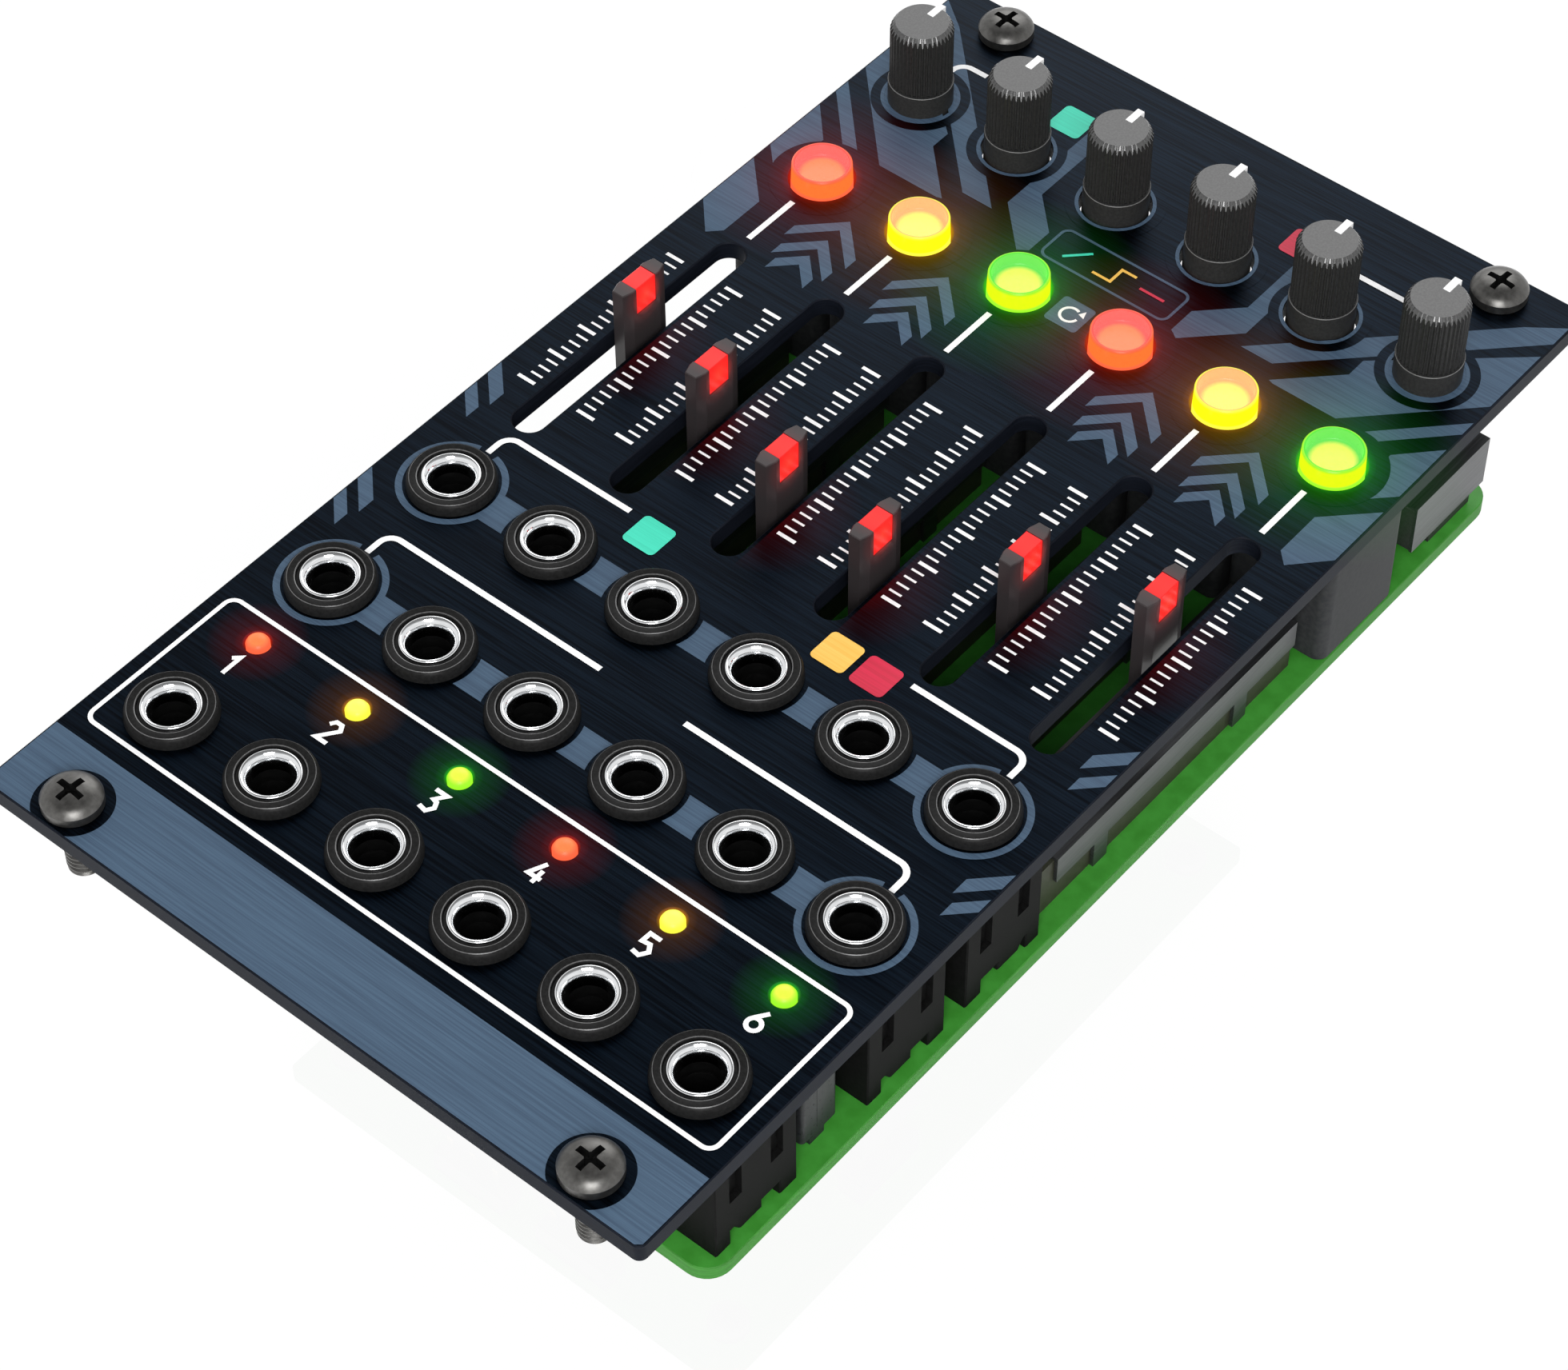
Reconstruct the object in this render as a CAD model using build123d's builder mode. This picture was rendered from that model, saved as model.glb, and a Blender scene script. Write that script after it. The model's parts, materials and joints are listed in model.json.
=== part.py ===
"""Six-channel sequencer module for a modular synthesizer rack, 14 HP wide and 3U tall.

Millimetres. The origin is the centre of the four rack screws, on the panel's rear face.
+X is to the right and +Y up the panel as the player sees it. +Z points out of the front.
"""

import os
from math import cos, pi, sin

from build123d import *

os.makedirs("parts", exist_ok=True)

# Front panel and rack format
panel_width = 70.8
panel_height = 128.5
panel_thickness = 2.0
panel_corner_radius = 0.8
rack_screw_inset_x = 7.46
rack_screw_inset_y = 3.0

# Flat sides that stand in for a circle on round pieces that repeat
round_sides = 16
small_round_sides = 12
tiny_round_sides = 8

# Control grid
column_count = 6
column_pitch = 11.43
slider_row_y = 7.8
pot_switch_gap = 3.4
switch_slider_gap = 1.8
slider_jack_gap = 1.6
jack_jack_gap = 2.8
jack_led_gap = 2.8
led_jack_gap = 1.7

# Main board
board_gap = 14.4
board_side_margin = 0.075
board_height = 110.0
board_thickness = 1.6
board_corner_radius = 2.5

# Rack screws
screw_radius = 1.5
screw_neck_radius = 1.3
screw_hole_clearance = 0.15
screw_reach = 6.0
screw_head_radius = 2.65
screw_head_edge = 0.9
screw_head_height = 1.9
recess_arm_length = 2.7
recess_arm_width = 0.6
recess_depth = 1.1

# Jacks
plug_bore_radius = 1.8
plug_depth = 14.4
bushing_radius = 2.9
bushing_hole_clearance = 0.1
bushing_height = 1.1
nut_radius = 4.0
nut_height = 1.05
nut_thread_clearance = 0.05
jack_width = 9.0
jack_short_reach = 3.8
jack_long_reach = 6.1
jack_belly_gap = 1.8
jack_short_foot = 1.8
jack_long_foot = 2.1
jack_foot_slope = 0.7
jack_middle_foot_start = 2.9
jack_middle_foot_length = 2.7
jack_middle_foot_gap = 0.8

# Rotary pots and their splined shafts
pot_width = 9.4
pot_front_reach = 6.6
pot_back_reach = 4.9
pot_top_depth = 7.1
pot_lift = 1.7
pot_foot_length = 6.5
pot_foot_inset = 1.6
pot_cover_thickness = 0.3
collar_radius = 3.1
collar_hole_clearance = 0.3
collar_height = 2.4
shaft_radius = 2.5
shaft_clearance = 0.05
shaft_floor = 1.2
knob_height = 9.2
knob_radius = 2.98
spline_root_radius = 2.65
spline_count = 18
knob_bevel = 0.42
knob_collar_gap = 0.1
pointer_width = 0.75
pointer_inner_end = 1.1
pointer_outer_end = 3.05
pointer_depth = 2.4

# Push buttons and their switches
button_radius = 2.95
button_clearance = 0.15
button_height = 1.9
button_edge_chamfer = 0.3
button_skirt_depth = 4.8
button_travel = 1.0
button_stop_gap = 0.4
switch_width = 10.7
switch_length = 11.4
switch_corner_chamfer = 0.8
switch_offset_y = -1.2
switch_panel_gap = 0.6

# Slide pots and their lit levers
slot_width = 3.2
slot_length = 30.0
slider_travel = 20.0
slider_rest_shares = (0.125, -0.227, -0.647, -0.793, -0.227, 0.125)
slide_pot_width = 7.2
slide_pot_length = 36.0
slide_pot_height = 6.0
slide_cover_thickness = 0.35
slide_cover_skirt = 3.0
slide_cover_length = 34.2
slide_cover_clearance = 0.05
slide_tab_width = 1.9
slide_tab_pitch = 20.0
slide_tab_count = 2
slide_channel_width = 5.0
slide_channel_length = 32.0
slide_channel_floor = 1.0
carriage_width = 4.6
carriage_length = 9.0
carriage_clearance = 0.2
lever_width = 1.85
lever_length = 5.5
lever_corner_across = 0.32
lever_corner_along = 1.0
lever_height = 6.2
lever_slot_clearance = 0.4
lens_length = 2.6
lens_depth = 3.1

# Step lights
led_radius = 1.05
led_hole_clearance = 0.12
led_dome_height = 0.6
led_flange_radius = 1.45
led_flange_thickness = 0.7
led_flange_gap = 0.1
led_spacer_width = 7.2
led_spacer_length = 4.4
led_spacer_lift = 1.3
led_nub_length = 1.8

# Rear board and the connectors that carry it
rear_gap = 15.2
rear_board_width = 49.2
rear_board_height = 72.0
rear_board_centre_x = 9.4
rear_board_centre_y = -17.8
header_pitch = 2.54
header_pin_width = 0.64
header_strip_height = 2.5
header_strip_width = 2.5
header_pin_reach = 11.0
link_pin_count = 3
link_socket_height = 8.5
link_socket_hole = 0.9
right_link_x = 30.6
right_link_y = -29.6
bottom_link_y = -52.2
bottom_link_left_x = 5.4
bottom_link_right_x = 17.0
small_screw_radius = 1.0
small_screw_clearance = 0.1
small_screw_head_radius = 1.85
small_screw_head_height = 1.4
small_screw_reach = 2.0
small_screw_inset_x = 3.2
small_screw_inset_y = 4.4

# Power inlet and parts on the back of the rear board
power_row_count = 2
power_column_count = 5
power_shroud_width = 8.9
power_shroud_length = 20.3
power_shroud_height = 9.0
power_shroud_wall = 1.2
power_shroud_floor = 2.5
power_key_width = 4.5
power_key_depth = 6.0
power_pin_reach = 8.2
power_header_y = 2.0
chip_thickness = 1.4
controller_width = 10.0
controller_x = 12.0
controller_y = -34.0
amplifier_width = 3.9
amplifier_length = 8.7
amplifier_count = 3
amplifier_pitch = 8.0
amplifier_x = -6.0
amplifier_y = -34.0
capacitor_radius = 3.15
capacitor_height = 7.5
capacitor_pitch = 9.0
capacitor_x = 24.0
capacitor_y = 2.0
regulator_width = 6.5
regulator_length = 3.5
regulator_thickness = 1.6
regulator_tab_width = 3.0
regulator_tab_length = 1.8
regulator_tab_thickness = 0.3
regulator_pitch = 9.0
regulator_x = -7.0
regulator_y = 2.0

# Main board, a little wider than the row of switches that stands on it
board_width = (column_count - 1) * column_pitch + switch_width + 2 * board_side_margin

# Rows along Y, each set against its neighbour
rack_spacing_x = panel_width - 2 * rack_screw_inset_x
rack_spacing_y = panel_height - 2 * rack_screw_inset_y
slide_pot_end = slide_pot_length / 2
button_row_y = slider_row_y + slide_pot_end + switch_slider_gap + switch_length / 2 - switch_offset_y
knob_row_y = button_row_y + switch_offset_y + switch_length / 2 + pot_switch_gap + pot_front_reach
upper_jack_y = slider_row_y - slide_pot_end - slider_jack_gap - jack_short_reach
middle_jack_y = upper_jack_y - jack_long_reach - jack_jack_gap - jack_long_reach
led_row_y = middle_jack_y - jack_short_reach - jack_led_gap - led_spacer_length / 2
lower_jack_y = led_row_y - led_spacer_length / 2 - led_jack_gap - jack_long_reach

# Levels along Z that several pieces share
panel_front = panel_thickness
board_top = -board_gap
board_bottom = board_top - board_thickness
rear_board_top = board_bottom - rear_gap
rear_board_bottom = rear_board_top - board_thickness
jack_tip = panel_front + bushing_height
pot_top = -pot_top_depth
collar_top = panel_front + collar_height
slide_pot_top = board_top + slide_pot_height
slide_cover_inside = slide_pot_top - slide_cover_thickness


def column_row(row_y):
    """One place per column of controls, at the height row_y on the panel."""
    first = -(column_count - 1) / 2
    return [((first + index) * column_pitch, row_y) for index in range(column_count)]


def at(piece, places):
    """Copies of one piece, which stands on the Z axis, as separate solids at the places."""
    with BuildPart() as copies:
        with Locations(*places):
            add(piece)
    return copies.part


def turned(piece):
    """The piece turned half a turn about the Z axis."""
    with BuildPart() as half_turn:
        add(piece, rotation=(0, 0, 180))
    return half_turn.part


def save(part, name):
    """Label one sub-part and write its STEP file."""
    part.label = name
    export_step(part, f"parts/{name}.step")


knob_places = column_row(knob_row_y)
button_places = column_row(button_row_y)
slider_places = column_row(slider_row_y)
led_places = column_row(led_row_y)
jack_rows = {
    "upper": column_row(upper_jack_y),
    "middle": column_row(middle_jack_y),
    "lower": column_row(lower_jack_y),
}
jack_places = [place for places in jack_rows.values() for place in places]


def slot_outline():
    """Plan of a slider slot: a straight run with round ends."""
    end_y = (slot_length - slot_width) / 2
    with BuildSketch() as outline:
        with Locations((0, -end_y), (0, end_y)):
            RegularPolygon(slot_width / 2, round_sides)
        make_hull()
    return outline.sketch


# Front panel, one anodised plate with every opening cut through
def front_panel():
    with BuildPart() as panel:
        with BuildSketch():
            RectangleRounded(panel_width, panel_height, panel_corner_radius)
            with GridLocations(rack_spacing_x, rack_spacing_y, 2, 2):
                RegularPolygon(screw_radius + screw_hole_clearance, round_sides, mode=Mode.SUBTRACT)
            with Locations(*jack_places):
                jack_hole_radius = bushing_radius + bushing_hole_clearance
                Circle(jack_hole_radius, mode=Mode.SUBTRACT)
            with Locations(*led_places):
                RegularPolygon(led_radius + led_hole_clearance, tiny_round_sides, mode=Mode.SUBTRACT)
            with Locations(*slider_places):
                add(slot_outline(), mode=Mode.SUBTRACT)
            with Locations(*button_places):
                RegularPolygon(button_radius + button_clearance, round_sides, mode=Mode.SUBTRACT)
            with Locations(*knob_places):
                RegularPolygon(collar_radius + collar_hole_clearance, round_sides, mode=Mode.SUBTRACT)
        extrude(amount=panel_thickness)
    return panel.part


# Main board behind the panel
def main_board():
    with BuildPart() as board:
        with BuildSketch(Plane.XY.offset(board_bottom)):
            RectangleRounded(board_width, board_height, board_corner_radius)
        extrude(amount=board_thickness)
    return board.part


# Pan head screw with a cross recess and a narrow neck through the panel, threaded behind it
def rack_screw():
    head_top = panel_front + screw_head_height
    with BuildPart() as screw:
        with BuildSketch(Plane.XY.offset(-screw_reach)):
            Circle(screw_radius)
        extrude(amount=screw_reach)
        with BuildSketch():
            RegularPolygon(screw_neck_radius, tiny_round_sides)
        extrude(amount=panel_front)
        with BuildSketch(Plane.XY.offset(panel_front)):
            RegularPolygon(screw_head_radius, round_sides)
        extrude(amount=screw_head_height)
        rim = screw.edges().group_by(Axis.Z)[-1]
        chamfer(rim, length=screw_head_height - screw_head_edge)
        with BuildSketch(Plane.XY.offset(head_top)):
            Rectangle(recess_arm_length, recess_arm_width)
            Rectangle(recess_arm_width, recess_arm_length)
        extrude(amount=-recess_depth, mode=Mode.SUBTRACT)
    return screw.part


# Round nut that clamps a jack to the panel
def jack_nut():
    with BuildPart() as nut:
        with BuildSketch(Plane.XY.offset(panel_front)):
            RegularPolygon(nut_radius, small_round_sides)
            thread_radius = bushing_radius + nut_thread_clearance
            RegularPolygon(thread_radius, tiny_round_sides, major_radius=False, mode=Mode.SUBTRACT)
        extrude(amount=nut_height)
    return nut.part


# Jack: moulded housing on feet, threaded bushing through the panel, and one bore for the plug
def jack():
    belly = board_top + jack_belly_gap
    middle_foot = board_top + jack_middle_foot_gap
    short_end = -jack_short_reach
    middle_start = short_end + jack_middle_foot_start
    middle_end = middle_start + jack_middle_foot_length
    long_foot_start = jack_long_reach - jack_long_foot
    with BuildPart() as socket:
        with BuildSketch(Plane.YZ):
            with BuildLine():
                Polyline(
                    (short_end, 0),
                    (short_end, board_top),
                    (short_end + jack_short_foot, board_top),
                    (short_end + jack_short_foot, belly),
                    (middle_start - jack_foot_slope, belly),
                    (middle_start, middle_foot),
                    (middle_end, middle_foot),
                    (middle_end, belly),
                    (long_foot_start, belly),
                    (long_foot_start, board_top),
                    (jack_long_reach, board_top),
                    (jack_long_reach, 0),
                    close=True,
                )
            make_face()
        extrude(amount=jack_width / 2, both=True)
        with BuildSketch():
            RegularPolygon(bushing_radius, small_round_sides)
        extrude(amount=jack_tip)
        with BuildSketch(Plane.XY.offset(jack_tip)):
            Circle(plug_bore_radius)
        extrude(amount=-plug_depth, mode=Mode.SUBTRACT)
    return socket.part


# Moulded base of a rotary pot, with the smooth collar that comes through the panel
def pot_base():
    body_width = pot_width - 2 * pot_cover_thickness
    body_length = pot_front_reach + pot_back_reach
    body_centre_y = (pot_back_reach - pot_front_reach) / 2
    foot_centre_y = pot_back_reach - pot_foot_inset - pot_foot_length / 2
    body_bottom = board_top + pot_lift
    body_top = pot_top - pot_cover_thickness
    shaft_bottom = body_bottom + shaft_floor
    with BuildPart() as base:
        with BuildSketch(Plane.XY.offset(body_bottom)):
            with Locations((0, body_centre_y)):
                Rectangle(body_width, body_length)
        extrude(amount=body_top - body_bottom)
        with BuildSketch(Plane.XY.offset(board_top)):
            with Locations((0, foot_centre_y)):
                Rectangle(body_width, pot_foot_length)
        extrude(amount=pot_lift)
        with BuildSketch(Plane.XY.offset(body_top)):
            RegularPolygon(collar_radius, round_sides)
        extrude(amount=collar_top - body_top)
        with BuildSketch(Plane.XY.offset(collar_top)):
            RegularPolygon(shaft_radius + shaft_clearance, tiny_round_sides, major_radius=False)
        extrude(amount=shaft_bottom - collar_top, mode=Mode.SUBTRACT)
    return base.part


# Pressed steel cover folded over a rotary pot's top and two sides
def pot_cover():
    half_width = pot_width / 2
    skirt_end = board_top + pot_lift
    inner_half = half_width - pot_cover_thickness
    with BuildPart() as cover:
        with BuildSketch(Plane.XZ.offset(-pot_back_reach)):
            with BuildLine():
                Polyline(
                    (-half_width, skirt_end),
                    (-half_width, pot_top),
                    (half_width, pot_top),
                    (half_width, skirt_end),
                    (inner_half, skirt_end),
                    (inner_half, pot_top - pot_cover_thickness),
                    (-inner_half, pot_top - pot_cover_thickness),
                    (-inner_half, skirt_end),
                    close=True,
                )
            make_face()
        extrude(amount=pot_front_reach + pot_back_reach)
        with BuildSketch(Plane.XY.offset(pot_top)):
            RegularPolygon(collar_radius, tiny_round_sides, major_radius=False)
        extrude(amount=-pot_cover_thickness, mode=Mode.SUBTRACT)
    return cover.part


def spline_outline():
    """Toothed outline of the knob."""
    radii = (knob_radius, spline_root_radius)
    angles = [pi * step / spline_count for step in range(2 * spline_count)]
    with BuildSketch() as outline:
        Polygon(*[(radii[step % 2] * cos(turn), radii[step % 2] * sin(turn)) for step, turn in enumerate(angles)])
    return outline.sketch


# Splined shaft that serves as the knob, turning in the collar
def knob():
    stem_bottom = board_top + pot_lift + shaft_floor + shaft_clearance
    spline_bottom = collar_top + knob_collar_gap
    knob_top = panel_front + knob_height
    pointer_length = pointer_outer_end - pointer_inner_end
    with BuildPart() as shaft:
        with BuildSketch(Plane.XY.offset(spline_bottom)):
            add(spline_outline())
        extrude(amount=knob_top - spline_bottom)
        chamfer(shaft.edges().group_by(Axis.Z)[-1], length=knob_bevel)
        with BuildSketch(Plane.XY.offset(stem_bottom)):
            RegularPolygon(shaft_radius, tiny_round_sides)
        extrude(amount=spline_bottom - stem_bottom)
        with BuildSketch(Plane.XY.offset(knob_top)):
            with Locations((0, pointer_inner_end + pointer_length / 2)):
                Rectangle(pointer_width, pointer_length)
        extrude(amount=-pointer_depth, mode=Mode.SUBTRACT)
    return shaft.part


# White insert in the end of the shaft that shows where the knob points
def knob_pointer():
    pointer_length = pointer_outer_end - pointer_inner_end
    with BuildPart() as pointer:
        with BuildSketch(Plane.XY.offset(panel_front + knob_height - pointer_depth)):
            with Locations((0, pointer_inner_end + pointer_length / 2)):
                Rectangle(pointer_width, pointer_length)
        extrude(amount=pointer_depth)
    return pointer.part


# Translucent cap that presses the switch
def button_cap():
    cap_top = panel_front + button_height
    with BuildPart() as cap:
        with BuildSketch(Plane.XY.offset(-button_skirt_depth)):
            RegularPolygon(button_radius, round_sides)
        extrude(amount=cap_top + button_skirt_depth)
        chamfer(cap.edges().group_by(Axis.Z)[-1], length=button_edge_chamfer)
    return cap.part


# Tall switch housing with eased corners, and a well for the cap
def switch_housing():
    housing_top = -switch_panel_gap
    cap_floor = -button_skirt_depth - button_travel - button_stop_gap
    with BuildPart() as housing:
        with BuildSketch(Plane.XY.offset(board_top)) as plan:
            with Locations((0, switch_offset_y)):
                Rectangle(switch_width, switch_length)
            chamfer(plan.vertices(), length=switch_corner_chamfer)
        extrude(amount=housing_top - board_top)
        with BuildSketch(Plane.XY.offset(housing_top)):
            RegularPolygon(button_radius + button_clearance, round_sides)
        extrude(amount=cap_floor - housing_top, mode=Mode.SUBTRACT)
    return housing.part


# Moulded trough that holds a slide pot's track and guides its carriage
def slide_pot_base():
    trough_width = slide_pot_width - 2 * slide_cover_thickness - 2 * slide_cover_clearance
    channel_floor = board_top + slide_channel_floor
    with BuildPart() as base:
        with BuildSketch(Plane.XY.offset(board_top)):
            Rectangle(trough_width, slide_pot_length)
        extrude(amount=slide_cover_inside - board_top)
        with BuildSketch(Plane.XY.offset(channel_floor)):
            Rectangle(slide_channel_width, slide_channel_length)
        extrude(amount=slide_cover_inside - channel_floor, mode=Mode.SUBTRACT)
    return base.part


# Steel channel over a slide pot, slotted for the lever, with tabs down to the board
def slide_pot_cover():
    half_width = slide_pot_width / 2
    inner_half = half_width - slide_cover_thickness
    skirt_end = slide_pot_top - slide_cover_skirt
    cover_end_y = slide_pot_length / 2
    lever_gap = lever_width + 2 * lever_slot_clearance
    lever_run = slider_travel + lever_length + 2 * lever_slot_clearance
    tab_span = slide_tab_pitch * (slide_tab_count - 1)
    with BuildPart() as cover:
        with BuildSketch(Plane.XZ.offset(-cover_end_y)):
            with BuildLine():
                Polyline(
                    (-half_width, skirt_end),
                    (-half_width, slide_pot_top),
                    (half_width, slide_pot_top),
                    (half_width, skirt_end),
                    (inner_half, skirt_end),
                    (inner_half, slide_cover_inside),
                    (-inner_half, slide_cover_inside),
                    (-inner_half, skirt_end),
                    close=True,
                )
            make_face()
        extrude(amount=slide_cover_length)
        with BuildSketch(Plane.XY.offset(slide_pot_top)):
            Rectangle(lever_gap, lever_run)
        extrude(amount=-slide_cover_thickness, mode=Mode.SUBTRACT)
        tab_y = [slide_tab_pitch * step - tab_span / 2 for step in range(slide_tab_count)]
        tab_x = half_width - slide_cover_thickness / 2
        with BuildSketch(Plane.XY.offset(board_top)):
            with Locations(*[(side * tab_x, y) for side in (-1, 1) for y in tab_y]):
                Rectangle(slide_cover_thickness, slide_tab_width)
        extrude(amount=skirt_end - board_top)
    return cover.part


def lever_outline():
    """Plan of a lever: a narrow blade with tapered ends."""
    half_width = lever_width / 2
    half_length = lever_length / 2
    shoulder = half_length - lever_corner_along
    end_half = half_width - lever_corner_across
    with BuildSketch() as outline:
        Polygon(
            (-half_width, -shoulder),
            (-end_half, -half_length),
            (end_half, -half_length),
            (half_width, -shoulder),
            (half_width, shoulder),
            (end_half, half_length),
            (-end_half, half_length),
            (-half_width, shoulder),
        )
    return outline.sketch


# Smoky lever on its carriage, notched at the top for the lit lens
def slider_lever():
    lever_top = panel_front + lever_height
    carriage_bottom = board_top + slide_channel_floor + carriage_clearance
    carriage_top = slide_cover_inside - carriage_clearance
    with BuildPart() as lever:
        with BuildSketch(Plane.XY.offset(carriage_top)):
            add(lever_outline())
        extrude(amount=lever_top - carriage_top)
        with BuildSketch(Plane.XY.offset(lever_top)):
            Rectangle(lever_width, lens_length)
        extrude(amount=-lens_depth, mode=Mode.SUBTRACT)
        with BuildSketch(Plane.XY.offset(carriage_bottom)):
            Rectangle(carriage_width, carriage_length)
        extrude(amount=carriage_top - carriage_bottom)
    return lever.part


# Red lens that fills the lever's notch and is flush with its faces
def slider_lens():
    lever_top = panel_front + lever_height
    with BuildPart() as lens:
        with BuildSketch(Plane.XY.offset(lever_top - lens_depth)):
            Rectangle(lever_width, lens_length)
        extrude(amount=lens_depth)
    return lens.part


# Smoky block that holds a step light off the board
def led_spacer():
    spacer_top = -led_flange_gap - led_flange_thickness
    spacer_bottom = board_top + led_spacer_lift
    with BuildPart() as spacer:
        with BuildSketch(Plane.XY.offset(spacer_bottom)):
            Rectangle(led_spacer_width, led_spacer_length)
        extrude(amount=spacer_top - spacer_bottom)
        with BuildSketch(Plane.XY.offset(board_top)):
            Rectangle(led_spacer_width, led_nub_length)
        extrude(amount=led_spacer_lift)
    return spacer.part


# Domed light with a flange under the panel
def step_led():
    flange_bottom = -led_flange_gap - led_flange_thickness
    with BuildPart() as led:
        with BuildSketch(Plane.XY.offset(flange_bottom)):
            RegularPolygon(led_flange_radius, tiny_round_sides)
        extrude(amount=led_flange_thickness)
        with BuildSketch(Plane.XY.offset(-led_flange_gap)):
            RegularPolygon(led_radius, tiny_round_sides)
        extrude(amount=led_flange_gap + panel_front + led_dome_height)
        chamfer(led.edges().group_by(Axis.Z)[-1], length=led_dome_height)
    return led.part


link_length = link_pin_count * header_pitch
link_places = [
    Location((right_link_x, right_link_y, 0), (0, 0, 90)),
    Location((bottom_link_left_x, bottom_link_y, 0)),
    Location((bottom_link_right_x, bottom_link_y, 0)),
]


# Socket strip under the main board
def link_socket():
    with BuildPart() as socket:
        with BuildSketch(Plane.XY.offset(board_bottom)):
            Rectangle(link_length, header_strip_width)
            with GridLocations(header_pitch, header_pitch, link_pin_count, 1):
                Rectangle(link_socket_hole, link_socket_hole, mode=Mode.SUBTRACT)
        extrude(amount=-link_socket_height)
    return socket.part


# Moulded strip that holds the pins on the rear board
def link_strip():
    with BuildPart() as strip:
        with BuildSketch(Plane.XY.offset(rear_board_top)):
            Rectangle(link_length, header_strip_width)
            with GridLocations(header_pitch, header_pitch, link_pin_count, 1):
                Rectangle(header_pin_width, header_pin_width, mode=Mode.SUBTRACT)
        extrude(amount=header_strip_height)
    return strip.part


# Square pins from the rear board up into the socket strip
def link_pins():
    with BuildPart() as pins:
        with BuildSketch(Plane.XY.offset(rear_board_top)):
            with GridLocations(header_pitch, header_pitch, link_pin_count, 1):
                Rectangle(header_pin_width, header_pin_width)
        extrude(amount=header_pin_reach)
    return pins.part


small_screw_span_x = rear_board_width - 2 * small_screw_inset_x
small_screw_span_y = rear_board_height - 2 * small_screw_inset_y
small_screw_places = [
    (rear_board_centre_x + side_x * small_screw_span_x / 2, rear_board_centre_y + side_y * small_screw_span_y / 2)
    for side_x in (-1, 1)
    for side_y in (-1, 1)
]


# Rear board
def rear_board():
    with BuildPart() as board:
        with BuildSketch(Plane.XY.offset(rear_board_bottom)):
            with Locations((rear_board_centre_x, rear_board_centre_y)):
                Rectangle(rear_board_width, rear_board_height)
            with Locations(*small_screw_places):
                RegularPolygon(small_screw_radius + small_screw_clearance, tiny_round_sides, mode=Mode.SUBTRACT)
        extrude(amount=board_thickness)
    return board.part


# Small pan head screw in a corner of the rear board
def small_screw():
    tip = rear_board_bottom - small_screw_reach
    with BuildPart() as screw:
        with BuildSketch(Plane.XY.offset(tip)):
            RegularPolygon(small_screw_radius, tiny_round_sides)
        extrude(amount=rear_board_top - tip)
        with BuildSketch(Plane.XY.offset(rear_board_top)):
            RegularPolygon(small_screw_head_radius, small_round_sides)
        extrude(amount=small_screw_head_height)
    return screw.part


# Keyed shroud of the power inlet, open to the back
def power_shroud():
    shroud_end = rear_board_bottom - power_shroud_height
    cavity_floor = rear_board_bottom - power_shroud_floor
    with BuildPart() as shroud:
        with BuildSketch(Plane.XY.offset(shroud_end)):
            Rectangle(power_shroud_width, power_shroud_length)
        extrude(amount=power_shroud_height)
        with BuildSketch(Plane.XY.offset(shroud_end)):
            Rectangle(power_shroud_width - 2 * power_shroud_wall, power_shroud_length - 2 * power_shroud_wall)
        extrude(amount=cavity_floor - shroud_end, mode=Mode.SUBTRACT)
        with BuildSketch(Plane.XY.offset(shroud_end)):
            with Locations(((power_shroud_width - power_shroud_wall) / 2, 0)):
                Rectangle(power_shroud_wall, power_key_width)
        extrude(amount=power_key_depth, mode=Mode.SUBTRACT)
    return shroud.part


# Pins of the power inlet
def power_pins():
    cavity_floor = rear_board_bottom - power_shroud_floor
    with BuildPart() as pins:
        with BuildSketch(Plane.XY.offset(cavity_floor)):
            with GridLocations(header_pitch, header_pitch, power_row_count, power_column_count):
                Rectangle(header_pin_width, header_pin_width)
        extrude(amount=power_shroud_floor - power_pin_reach)
    return pins.part


# Controller and amplifier chips on the back of the rear board
def circuit_chips():
    with BuildPart() as chips:
        with BuildSketch(Plane.XY.offset(rear_board_bottom)):
            with Locations((controller_x, controller_y)):
                Rectangle(controller_width, controller_width)
            with Locations((amplifier_x, amplifier_y)):
                with GridLocations(amplifier_pitch, amplifier_pitch, 1, amplifier_count):
                    Rectangle(amplifier_length, amplifier_width)
        extrude(amount=-chip_thickness)
    return chips.part


# Can of a power filter capacitor
def filter_capacitor():
    with BuildPart() as can:
        with BuildSketch(Plane.XY.offset(rear_board_bottom)):
            RegularPolygon(capacitor_radius, small_round_sides)
        extrude(amount=-capacitor_height)
    return can.part


# Voltage regulator with its metal tab
def voltage_regulator():
    with BuildPart() as regulator:
        with BuildSketch(Plane.XY.offset(rear_board_bottom)):
            Rectangle(regulator_width, regulator_length)
        extrude(amount=-regulator_thickness)
        with BuildSketch(Plane.XY.offset(rear_board_bottom)):
            with Locations((0, (regulator_length + regulator_tab_length) / 2)):
                Rectangle(regulator_tab_width, regulator_tab_length)
        extrude(amount=-regulator_tab_thickness)
    return regulator.part


# Fixed pieces at the front
save(front_panel(), "front_panel")
save(main_board(), "main_board")
rack_screw_places = [(x * rack_spacing_x / 2, y * rack_spacing_y / 2) for x in (-1, 1) for y in (-1, 1)]
save(at(rack_screw(), rack_screw_places), "rack_screws")
jack_piece = jack()
for row_name, row_places in jack_rows.items():
    facing = turned(jack_piece) if row_name == "upper" else jack_piece
    save(at(facing, row_places), f"{row_name}_jacks")
save(at(jack_nut(), jack_places), "jack_nuts")
save(at(pot_base(), knob_places), "pot_bases")
save(at(pot_cover(), knob_places), "pot_covers")
save(at(switch_housing(), button_places), "switch_housings")
save(at(slide_pot_base(), slider_places), "slide_pot_bases")
save(at(slide_pot_cover(), slider_places), "slide_pot_covers")
save(at(led_spacer(), led_places), "led_spacers")
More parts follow.
